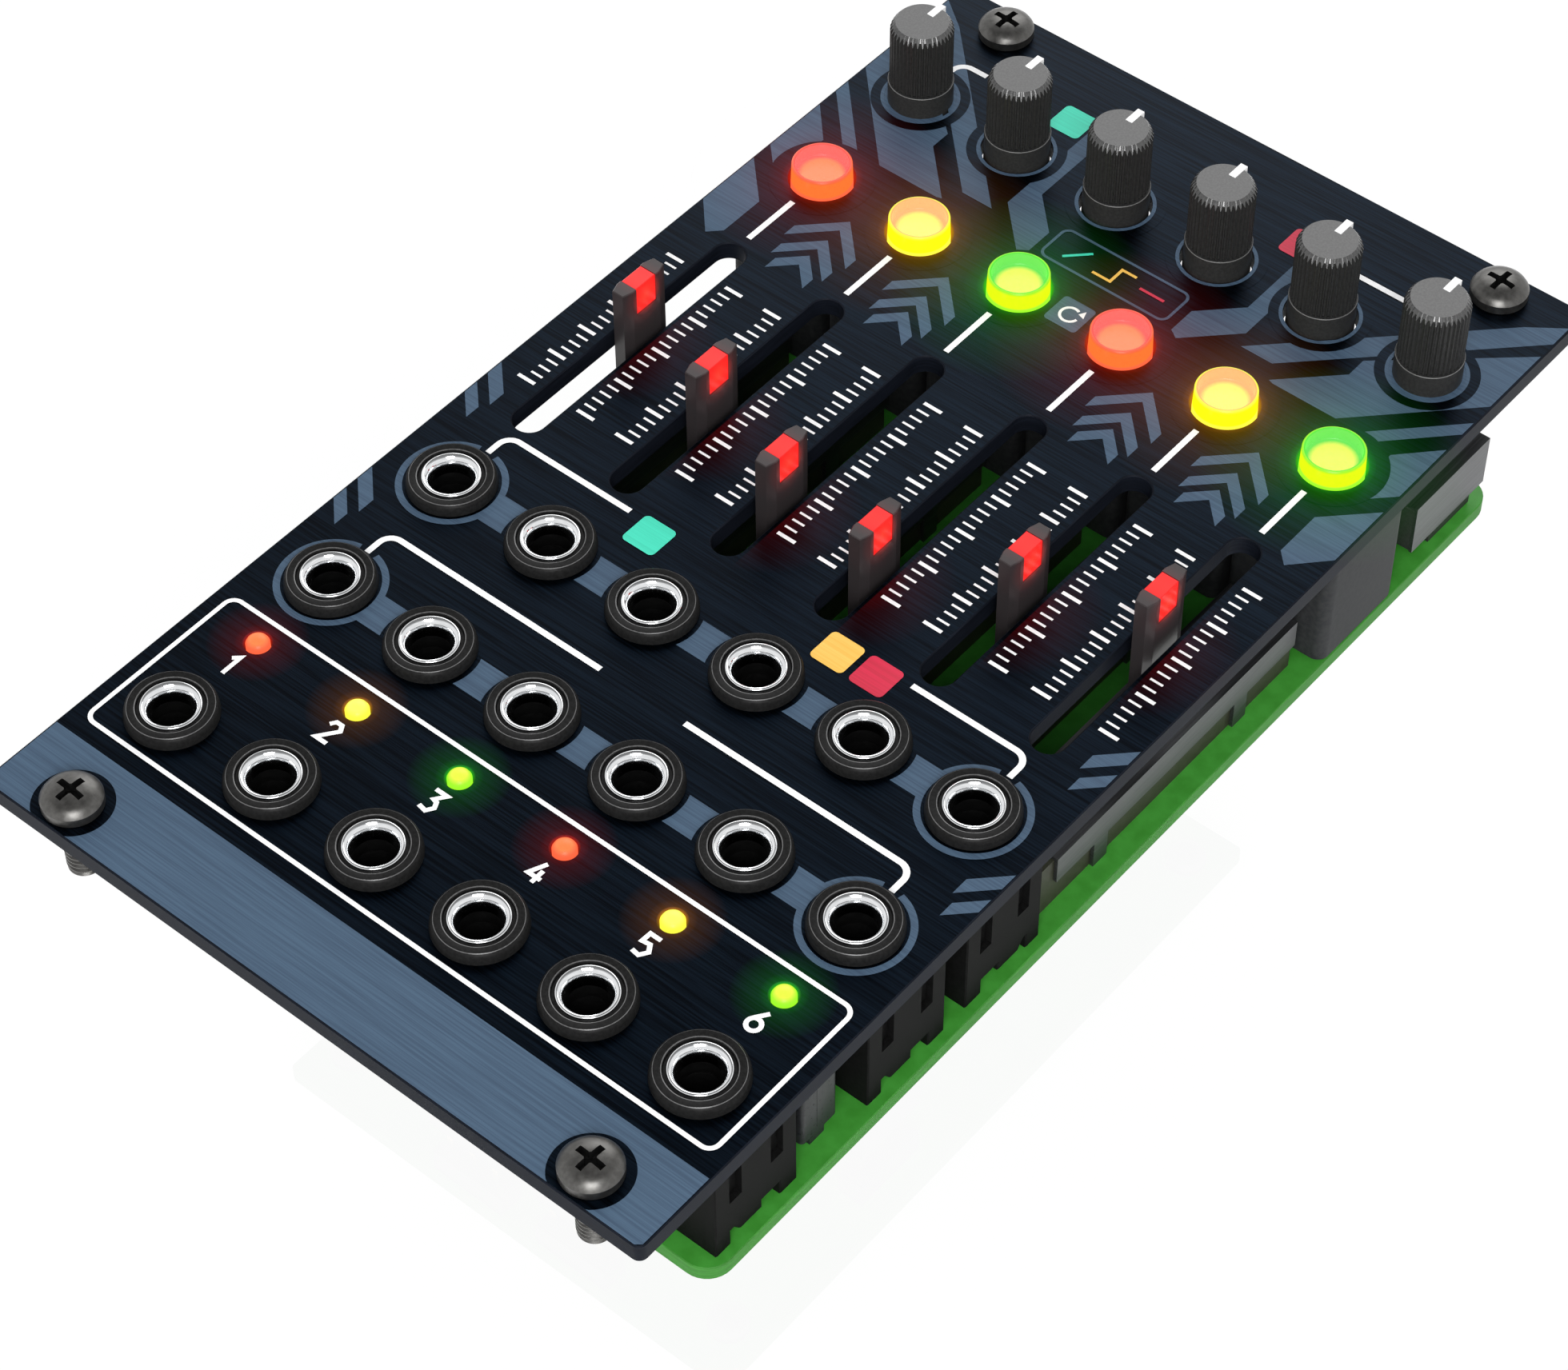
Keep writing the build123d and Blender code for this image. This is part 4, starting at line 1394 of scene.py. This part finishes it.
@dataclass
class PushButtons:
    """Six lit caps in tall switch housings."""

    radius: float = 2.9
    draft: float = 0.08
    top: float = 3.9
    rim: float = 0.3
    recess: float = 1.3
    foot: float = -4.8
    opening: float = 3.1
    opening_floor: float = -6.2
    housing_low: Point = (-5.35, -6.9)
    housing_high: Point = (5.35, 4.5)
    housing_top: float = -0.6

    def housings(self) -> None:
        """Build the six switch housings."""
        outline = rectangle(self.housing_low, self.housing_high, 1.1)
        form = Form().plate(outline, [circle(self.opening, steps=48)], BOARD_TOP, self.housing_top, 0.2)
        form.lathe([(0, self.opening_floor), (self.opening, self.opening_floor)], steps=48)
        show(form.spread(BUTTONS), "switch_bodies", [Plastic.GREY], "grey_housing",
             stands_for=["switch_housings"])

    def cap(self) -> Form:
        """Return one cap, with finish number 1 on its outside.

        Returns:
            The form.
        """
        outer = self.radius - self.draft
        inner = outer - self.rim
        floor = self.top - self.recess
        cup = [(0, floor), (inner - 0.08, floor), (inner, floor + 0.08), (inner, self.top - 0.05),
               (inner + 0.06, self.top), (outer - 0.1, self.top), (outer, self.top - 0.1)]
        side = [(self.radius, 1.5), (self.radius, self.foot + 0.2), (self.radius - 0.2, self.foot),
                (0, self.foot)]
        return Form().lathe(cup + side, [0] * 6 + [1] * 4, 72)

    def build(self) -> None:
        """Build the housings and the caps with their clear windows."""
        self.housings()
        pane = self.radius - self.draft - self.rim
        low, high = self.top - 0.06, self.top - 0.02
        for number, (place, glow) in enumerate(zip(BUTTONS, GLOWS), 1):
            slot_name, owner = f"{glow.key}_light", f"button_{number}"
            show(self.cap(), f"lit_cap_{number}", [glow.cap_top(), glow.cap_side()], slot_name, owner,
                 [f"button_cap_{number}"], place)
            window = Form().lathe([(0, low), (pane, low), (pane, high), (0, high)], steps=48)
            show(window, f"cap_window_{number}", [Plastic.WINDOW], slot_name, owner, place=place)


# Slide pots

@dataclass
class SlidePots:
    """Six slide pots with smoky levers and red lit windows."""

    top: float = 8.2
    carriage_top: float = -9.0
    carriage_foot: float = -13.2
    notch_half: float = 1.3
    notch_depth: float = 3.1
    window_half: Point = (0.84, 1.27)
    # Y of each lever from the middle of its travel, as a share of half the travel
    rest: tuple[float, ...] = (0.125, -0.227, -0.647, -0.793, -0.227, 0.125)
    half_travel: float = 10.0

    def place(self, index: int) -> Point:
        """Return where a lever rests, counted from 0."""
        return SLIDERS[index][0], SLIDERS[index][1] + self.rest[index] * self.half_travel

    def lever(self) -> Form:
        """Return one lever with its carriage and the notch for its window.

        Returns:
            The form.
        """
        quarter = [(0.925, 1.75), (0.605, 2.75)]
        upper = quarter + [(-x, y) for x, y in quarter[::-1]]
        blade = upper + [(-x, -y) for x, y in upper]
        form = Form().prism(blade, self.carriage_top, self.top, 0.08)
        form.carve(Form().block((2, self.notch_half), self.top - self.notch_depth, self.top + 1))
        return form.block((2.3, 4.5), self.carriage_foot, self.carriage_top, 0.2)

    def build(self, nodes: dict[str, bpy.types.Object]) -> None:
        """Build the levers and dress the fixed parts.

        Args:
            nodes: The CAD objects by name.
        """
        dress(nodes, "slide_pot_bases", Plastic.TROUGH)
        dress(nodes, "slide_pot_covers", Metal.COVER)
        for index in range(len(SLIDERS)):
            number, place = index + 1, self.place(index)
            owner = f"slider_{number}"
            show(self.lever(), f"smoky_lever_{number}", [Lever.SMOKY], "smoky_plastic", owner,
                 [f"slider_lever_{number}"], place, sharp=12)
            window = Form().block(self.window_half, self.top - 3.08, self.top - 0.04, 0.05)
            show(window, f"red_window_{number}", [Lever.LIGHT], "red_light", owner, [f"slider_lens_{number}"],
                 place)


# Step lights

@dataclass
class StepLights:
    """Six step lights on smoky spacers."""

    radius: float = 1.05
    flange: float = 1.45
    spacer_half: Point = (3.6, 2.2)
    spacer_top: float = -0.82
    spacer_foot: float = -13.1

    def light(self) -> Form:
        """Return one light with its flange behind the panel.

        Returns:
            The form.
        """
        crown = PANEL_FRONT + 0.6
        profile = [(0, crown), (0.35, crown - 0.03), (0.68, crown - 0.15), (0.92, crown - 0.34),
                   (self.radius, crown - 0.6), (self.radius, -0.1), (self.flange, -0.1), (self.flange, -0.8),
                   (0, -0.8)]
        return Form().lathe(profile, steps=40)

    def build(self) -> None:
        """Build the lights, colour by colour, and the spacers."""
        for glow in Glow:
            for index, place in enumerate(LIGHTS):
                if GLOWS[index] is glow:
                    show(self.light(), f"{glow.key}_light_{index + 1}", [glow.led()], f"{glow.key}_light",
                         stands_for=[f"{glow.key}_step_leds"], place=place)
        outline = centred(self.spacer_half, 0.4, 4)
        spacer = Form().prism(outline, self.spacer_foot, self.spacer_top, 0.3)
        spacer.block((3.62, 0.35), -12.6, -1.2, 0.1).block((3.3, 0.9), BOARD_TOP, -13.0, 0.1)
        show(spacer.spread(LIGHTS), "spacers", [Plastic.SPACER], "smoky_plastic", stands_for=["led_spacers"])


# Boards

@dataclass
class Boards:
    """Main board, rear board and what stands on the rear board."""

    ease: float = 0.08
    main_half: Point = (34.0, 55.0)
    rear_low: Point = (-15.2, -53.8)
    rear_high: Point = (34.0, 18.2)
    screw_hole: float = 1.1
    screw_places: tuple[Point, ...] = tuple(
        (9.4 + side_x * 21.4, -17.8 + side_y * 31.6) for side_x in (-1, 1) for side_y in (-1, 1))
    can_places: tuple[Point, ...] = ((24.0, -2.5), (24.0, 6.5))

    def board(
        self, name: str, node: str, outline: list[Point], holes: list[list[Point]], low: float, high: float
    ) -> None:
        """Build one circuit board.

        Args:
            name: Name of the piece.
            node: CAD node that it replaces.
            outline: Its outline.
            holes: Outlines of its holes.
            low: Z of its lower face.
            high: Z of its upper face.
        """
        form = Form().plate(outline, holes, low, high, self.ease, 1)
        show(form, name, [Board.MASK, Board.EDGE], "green_board", stands_for=[node])

    def build(self, nodes: dict[str, bpy.types.Object]) -> None:
        """Build the boards and dress the parts at the back.

        Args:
            nodes: The CAD objects by name.
        """
        outline = centred(self.main_half, 2.5)
        self.board("main_circuit_board", "main_board", outline, [], BOARD_BOTTOM, BOARD_TOP)
        outline = rectangle(self.rear_low, self.rear_high, 0.6)
        holes = [circle(self.screw_hole, place, 24) for place in self.screw_places]
        self.board("rear_circuit_board", "rear_board", outline, holes, REAR_BOTTOM, REAR_TOP)
        self.solder()
        self.small_screws()
        self.capacitors()
        for finish, names in (
            (Plastic.HEADER, ("link_sockets", "link_strips", "power_shroud")),
            (Metal.GOLD, ("link_pins", "power_pins")),
            (Plastic.EPOXY, ("circuit_chips", "voltage_regulators")),
        ):
            for name in names:
                dress(nodes, name, finish)

    def solder(self) -> None:
        """Build the solder joints of the parts above on the main board's underside."""
        places: list[Point] = []
        for facing, jacks in ((1, MIDDLE_JACKS + LOWER_JACKS), (-1, UPPER_JACKS)):
            for x, y in jacks:
                places += [(x, y + facing * 5.0), (x - 3.2, y - facing * 2.9), (x + 3.2, y - facing * 2.9)]
        for x, y in KNOBS:
            places += [(x + step, y - 5.4) for step in (-2.5, 0, 2.5)]
        for x, y in BUTTONS:
            places += [(x + side * 3.25, y + row_y) for side in (-1, 1) for row_y in (-3.5, 1.5)]
        for x, y in SLIDERS:
            places += [(x + side * 1.9, y + end * 16.0) for side in (-1, 1) for end in (-1, 1)]
        for x, y in LIGHTS:
            places += [(x - 1.27, y), (x + 1.27, y)]
        low = BOARD_BOTTOM
        profile = [(0.85, low), (0.8, low - 0.08), (0.5, low - 0.3), (0.32, low - 0.7), (0, low - 0.75)]
        joints = Form().lathe(profile, steps=12).spread(places)
        show(joints, "solder_joints", [Metal.SOLDER], "pin_metal")

    def small_screws(self) -> None:
        """Build the rear board's four screws, their heads towards the main board."""
        top, shank, end = REAR_TOP + 1.4, 0.98, REAR_BOTTOM - 2.0
        head = [(0, top), (1.0, top - 0.06), (1.5, top - 0.3), (1.8, top - 0.75), (1.8, REAR_TOP),
                (shank, REAR_TOP)]
        crests = thread(shank, 0.8, REAR_TOP - 0.1, 0.4, 8, (0.1, 0.24, 0.28))
        solid = Form().lathe(head + crests + [(0.95, end + 0.2), (0.75, end), (0, end)], steps=32)
        cross_recess(solid, top, 0.9, 0.2).spread(self.screw_places)
        show(solid, "rear_pan_screws", [Metal.SCREW, Metal.RECESS], "dark_screw_steel",
             stands_for=["rear_board_screws"], sharp=28)

    def capacitors(self) -> None:
        """Build the two filter capacitors: crimped cans on moulded bases, with a dark sector on the end."""
        foot, end, waist = REAR_BOTTOM, REAR_BOTTOM - 7.5, 2.72
        profile = [(0, foot), (3.05, foot), (3.05, foot - 0.55), (2.9, foot - 0.6), (2.97, foot - 0.75),
                   (2.97, foot - 1.2), (waist, foot - 1.45), (waist, foot - 1.6), (3.0, foot - 1.9),
                   (3.0, end + 0.3), (2.9, end + 0.1), (2.7, end), (0, end)]
        can = Form().lathe(profile, [1] * 3 + [0] * 9, 48)
        for face in can.mesh.faces:
            middle = face.calc_center_median()
            if middle.z < end + 0.01 and middle.x > 0.9:
                face.material_index = 1
        show(can.spread(self.can_places), "crimped_cans", [Metal.CAN, Plastic.HEADER], "capacitor_can",
             stands_for=["filter_capacitors"])


# Studio

# How the light painted on the panel round each lit piece falls off: radius from the piece's axis in
# millimetres, and strength
CAP_FALL = ((0.0, 0.5), (2.95, 0.5), (3.25, 0.16), (3.8, 0.08), (5.0, 0.045), (7.5, 0.02), (12.0, 0.0))
STEP_FALL = ((0.0, 0.35), (1.05, 0.35), (1.3, 0.08), (2.0, 0.03), (4.4, 0.0))
LEVER_FALL = ((0.0, 0.045), (2.5, 0.035), (4.0, 0.014), (8.0, 0.0))


@dataclass(frozen=True)
class Haze:
    """Coloured light that a lit piece throws on the panel round it, painted on a clear disc as emission.

    levels are the strengths of the light at radii in millimetres from the piece's axis.
    """

    name: str
    colour: str
    levels: tuple[tuple[float, float], ...]

    def material(self) -> bpy.types.Material:
        """Return the material of the painted light, made on first use.

        Returns:
            A clear material with the light painted on as emission.
        """
        found = bpy.data.materials.get(self.name)
        if found:
            return found
        made = blank_material(self.name)
        tree = made.node_tree
        reach = self.levels[-1][0]
        place = add_node(tree, "TexCoord")
        way = add_node(tree, "VectorMath", {0: place.outputs["Object"]}, operation="LENGTH")
        share = add_node(tree, "MapRange", {"Value": way.outputs["Value"], "From Max": reach * MM})
        tint = linear(self.colour)[:3]
        stops = [(radius / reach, (*(part * level for part in tint), 1.0)) for radius, level in self.levels]
        ramp = set_ramp(add_node(tree, "ValToRGB", {"Fac": share}), stops)
        clear = add_node(tree, "BsdfTransparent")
        light = add_node(tree, "Emission", {"Color": ramp, "Strength": 1.0})
        both = add_node(tree, "AddShader", {0: clear, 1: light})
        add_node(tree, "OutputMaterial", {"Surface": both})
        return made

    def lay(
        self, name: str, place: Sequence[float], owner: bpy.types.Object, beyond: float | None = None
    ) -> None:
        """Lay the painted light on the panel as a disc that only the camera sees, moving with the piece that
        throws it.

        Args:
            name: Name of the disc.
            place: Its centre in millimetres.
            owner: Body that it moves with.
            beyond: Where given, only the part of the disc beyond this X, so that a slot stays dark.
        """
        outline = circle(self.levels[-1][0], steps=96)
        if beyond is not None:
            outline = [(x, y) for x, y in outline if x > beyond]
        piece = Form().face(outline, 0).object(name)
        piece.data.materials.append(self.material())
        piece.location = Vector(place) * MM
        piece.parent = owner
        for kind in ("shadow", "diffuse", "glossy", "transmission"):
            setattr(piece, f"visible_{kind}", False)
        bpy.context.scene.collection.objects.link(piece)


@dataclass
class Studio:
    """Floor, lamps, world and the camera at the photograph's angle."""

    camera_place: tuple[float, float, float] = (154.7, -188.5, 265.9)
    camera_back: tuple[float, float, float] = (0.4208, -0.4983, 0.7580)
    camera_right: tuple[float, float, float] = (0.76767, 0.64082, -0.00484)
    lens: float = 96.82
    floor_level: float = -41.9
    card_level: float = BOARD_BOTTOM - 0.15
    sheet_reach: float = 3000.0
    # Height of a ray's direction over which the surroundings change from bright to dark
    rise: Point = (0.62, 0.8)
    side_light: float = 0.95
    overhead_light: float = 0.24
    # Distance in millimetres over which the floor's shadow fades into plain white
    fade: Point = (120.0, 400.0)
    # Light that the paper gives to the camera and to reflections
    paper_light: float = 0.3
    painted_glow_lift: float = 0.1
    # The painted light round the levers leans towards the player, and the slot beside them is left without
    # it, so it stays dark
    lever_haze_shift: float = -1.5
    slot_side: float = 1.65

    def build(self, bodies: dict[str, bpy.types.Object]) -> None:
        """Set up the whole studio.

        Args:
            bodies: The CAD bodies by name, for the painted light that moves with them.
        """
        self.world()
        self.white_sheet("floor", self.floor_level, self.floor_finish())
        card = self.white_sheet("floor_card", self.card_level, self.card_finish())
        for kind in ("shadow", "diffuse", "glossy"):
            setattr(card, f"visible_{kind}", False)
        self.lamps()
        self.paint_glows(bodies)
        self.camera()
        bpy.context.scene.view_settings.view_transform = "Standard"

    def world(self) -> None:
        """Set plain surroundings that light the part softly, darker overhead than near the horizon."""
        scene_world = bpy.data.worlds.new("studio")
        bpy.context.scene.world = scene_world
        scene_world.use_nodes = True
        tree = scene_world.node_tree
        tree.nodes.clear()
        path = add_node(tree, "LightPath")
        place = add_node(tree, "TexCoord")
        split = add_node(tree, "SeparateXYZ", {0: place.outputs["Generated"]})
        rise = add_node(tree, "MapRange", {
            "Value": split.outputs["Z"], "From Min": self.rise[0], "From Max": self.rise[1],
            "To Min": self.side_light, "To Max": self.overhead_light,
        })
        seen = add_node(tree, "Math", {0: path.outputs["Is Camera Ray"], 1: rise}, operation="MAXIMUM")
        back = add_node(tree, "Background", {"Color": (1, 1, 1, 1), "Strength": seen})
        add_node(tree, "OutputWorld", {"Surface": back})

    def floor_finish(self) -> bpy.types.Material:
        """Return matt white paper that keeps the shadow, fades into the background and is clear from below.

        Returns:
            The material.
        """
        made = blank_material("matt white paper, floor")
        tree = made.node_tree
        path = add_node(tree, "LightPath")
        rays = {0: path.outputs["Is Camera Ray"], 1: path.outputs["Is Glossy Ray"]}
        seen = add_node(tree, "Math", rays, operation="MAXIMUM")
        power = add_node(tree, "Math", {0: seen, 1: self.paper_light}, operation="MULTIPLY")
        place = add_node(tree, "TexCoord")
        tooth = add_node(tree, "TexNoise", {"Vector": place.outputs["Object"], "Scale": 900.0})
        bump = add_node(tree, "Bump", {"Height": tooth, "Distance": 0.02 * MM})
        shade = add_node(tree, "BsdfDiffuse", {"Color": linear("#f6f6f6"), "Normal": bump})
        light = add_node(tree, "Emission", {"Color": (1, 1, 1, 1), "Strength": power})
        paper = add_node(tree, "AddShader", {0: shade, 1: light})
        way = add_node(tree, "VectorMath", {0: place.outputs["Object"]}, operation="LENGTH")
        near, far = (distance * MM for distance in self.fade)
        away = add_node(tree, "MapRange", {"Value": way.outputs["Value"], "From Min": near, "From Max": far})
        fade = add_node(tree, "Math", {0: away, 1: path.outputs["Is Camera Ray"]}, operation="MULTIPLY")
        white = add_node(tree, "Emission", {"Color": (1, 1, 1, 1), "Strength": 1.0})
        front = add_node(tree, "MixShader", {0: fade, 1: paper, 2: white})
        side = add_node(tree, "NewGeometry")
        clear = add_node(tree, "BsdfTransparent")
        mix = add_node(tree, "MixShader", {0: side.outputs["Backfacing"], 1: front, 2: clear})
        add_node(tree, "OutputMaterial", {"Surface": mix})
        return made

    def card_finish(self) -> bpy.types.Material:
        """Return the white that screens the rear parts in a steep view, and is clear in a flat one.

        Returns:
            The material.
        """
        made = blank_material("thin white card")
        tree = made.node_tree
        weight = add_node(tree, "LayerWeight", {"Blend": 0.5})
        cover = add_node(tree, "MapRange", {
            "Value": weight.outputs["Facing"], "From Min": 0.38, "From Max": 0.46, "To Min": 0.95,
            "To Max": 0.0,
        })
        side = add_node(tree, "NewGeometry")
        share = add_node(tree, "Math", {0: cover, 1: side.outputs["Backfacing"]}, operation="SUBTRACT",
                         use_clamp=True)
        light = add_node(tree, "Emission", {"Color": (1, 1, 1, 1), "Strength": 1.0})
        clear = add_node(tree, "BsdfTransparent")
        mix = add_node(tree, "MixShader", {0: share, 1: clear, 2: light})
        add_node(tree, "OutputMaterial", {"Surface": mix})
        return made

    def white_sheet(self, name: str, level: float, finish: bpy.types.Material) -> bpy.types.Object:
        """Lay one wide sheet.

        Args:
            name: Name of the sheet.
            level: Its Z in millimetres.
            finish: Its material.

        Returns:
            The object.
        """
        piece = Form().face(centred((self.sheet_reach, self.sheet_reach)), level).object(name)
        piece.data.materials.append(finish)
        bpy.context.scene.collection.objects.link(piece)
        return piece

    def lamp(
        self, name: str, place: Sequence[float], aim: Sequence[float], size: float, power: float
    ) -> None:
        """Add one soft square lamp.

        Args:
            name: Name of the lamp.
            place: Its place in millimetres.
            aim: Point that it faces.
            size: Side in millimetres.
            power: Power in watts.
        """
        light = bpy.data.lights.new(name, "AREA")
        light.size = size * MM
        light.energy = power
        piece = bpy.data.objects.new(name, light)
        piece.location = Vector(place) * MM
        piece.rotation_mode = "QUATERNION"
        piece.rotation_quaternion = (Vector(aim) - Vector(place)).to_track_quat("-Z", "Y")
        bpy.context.scene.collection.objects.link(piece)

    def lamps(self) -> None:
        """Set the soft lamps: a faint one beyond the top edge, a small one over the camera's shoulder."""
        self.lamp("top_soft_lamp", (-270, 490, 370), (0, 20, 0), 400, 1.15)
        self.lamp("shoulder_lamp", (268, -320, 360), (0, 0, 0), 240, 2.1)

    def paint_glows(self, bodies: dict[str, bpy.types.Object]) -> None:
        """Paint the coloured light that the caps, levers and step lights throw round themselves, as glowing
        discs on the panel.

        Args:
            bodies: The CAD bodies by name.
        """
        level = PANEL_FRONT + self.painted_glow_lift
        slide = SlidePots()
        lever_painted_glow = Haze("haze, red lever", "#ff2020", LEVER_FALL)
        for index, glow in enumerate(GLOWS):
            number = index + 1
            # Discs that overlap each lie at a level of their own
            lifted = level + 0.01 * index
            for kind, fall, places in (("cap", CAP_FALL, BUTTONS), ("step light", STEP_FALL, LIGHTS)):
                painted_glow = Haze(f"haze, {glow.key} {kind}", glow.value.spill, fall)
                painted_glow.lay(f"{kind.split()[0]}_haze_{number}", (*places[index], lifted), bodies["module"])
            x, y = slide.place(index)
            place = (x, y + self.lever_haze_shift, level)
            lever_painted_glow.lay(f"lever_haze_{number}", place, bodies[f"slider_{number}"], self.slot_side)

    def camera(self) -> None:
        """Place the camera where the photograph was taken from."""
        back = Vector(self.camera_back).normalized()
        right = Vector(self.camera_right).normalized()
        up = back.cross(right).normalized()
        right = up.cross(back).normalized()
        view = Matrix((right, up, back)).transposed().to_4x4()
        view.translation = Vector(self.camera_place) * MM
        data = bpy.data.cameras.new("camera")
        data.sensor_width = 36.0
        data.lens = self.lens
        data.clip_start = 0.01
        data.clip_end = 20.0
        piece = bpy.data.objects.new("camera", data)
        piece.matrix_world = view
        bpy.context.scene.collection.objects.link(piece)
        bpy.context.scene.camera = piece


def main() -> None:
    """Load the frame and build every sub-assembly in order."""
    logging.basicConfig(level=logging.INFO, format="%(message)s")
    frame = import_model()
    nodes = frame["nodes"]
    FrontPanel().build()
    RackScrews().build()
    Jacks().build()
    RotaryPots().build(nodes)
    PushButtons().build()
    SlidePots().build(nodes)
    StepLights().build()
    Boards().build(nodes)
    Studio().build(frame["bodies"])


if __name__ == "__main__":
    main()
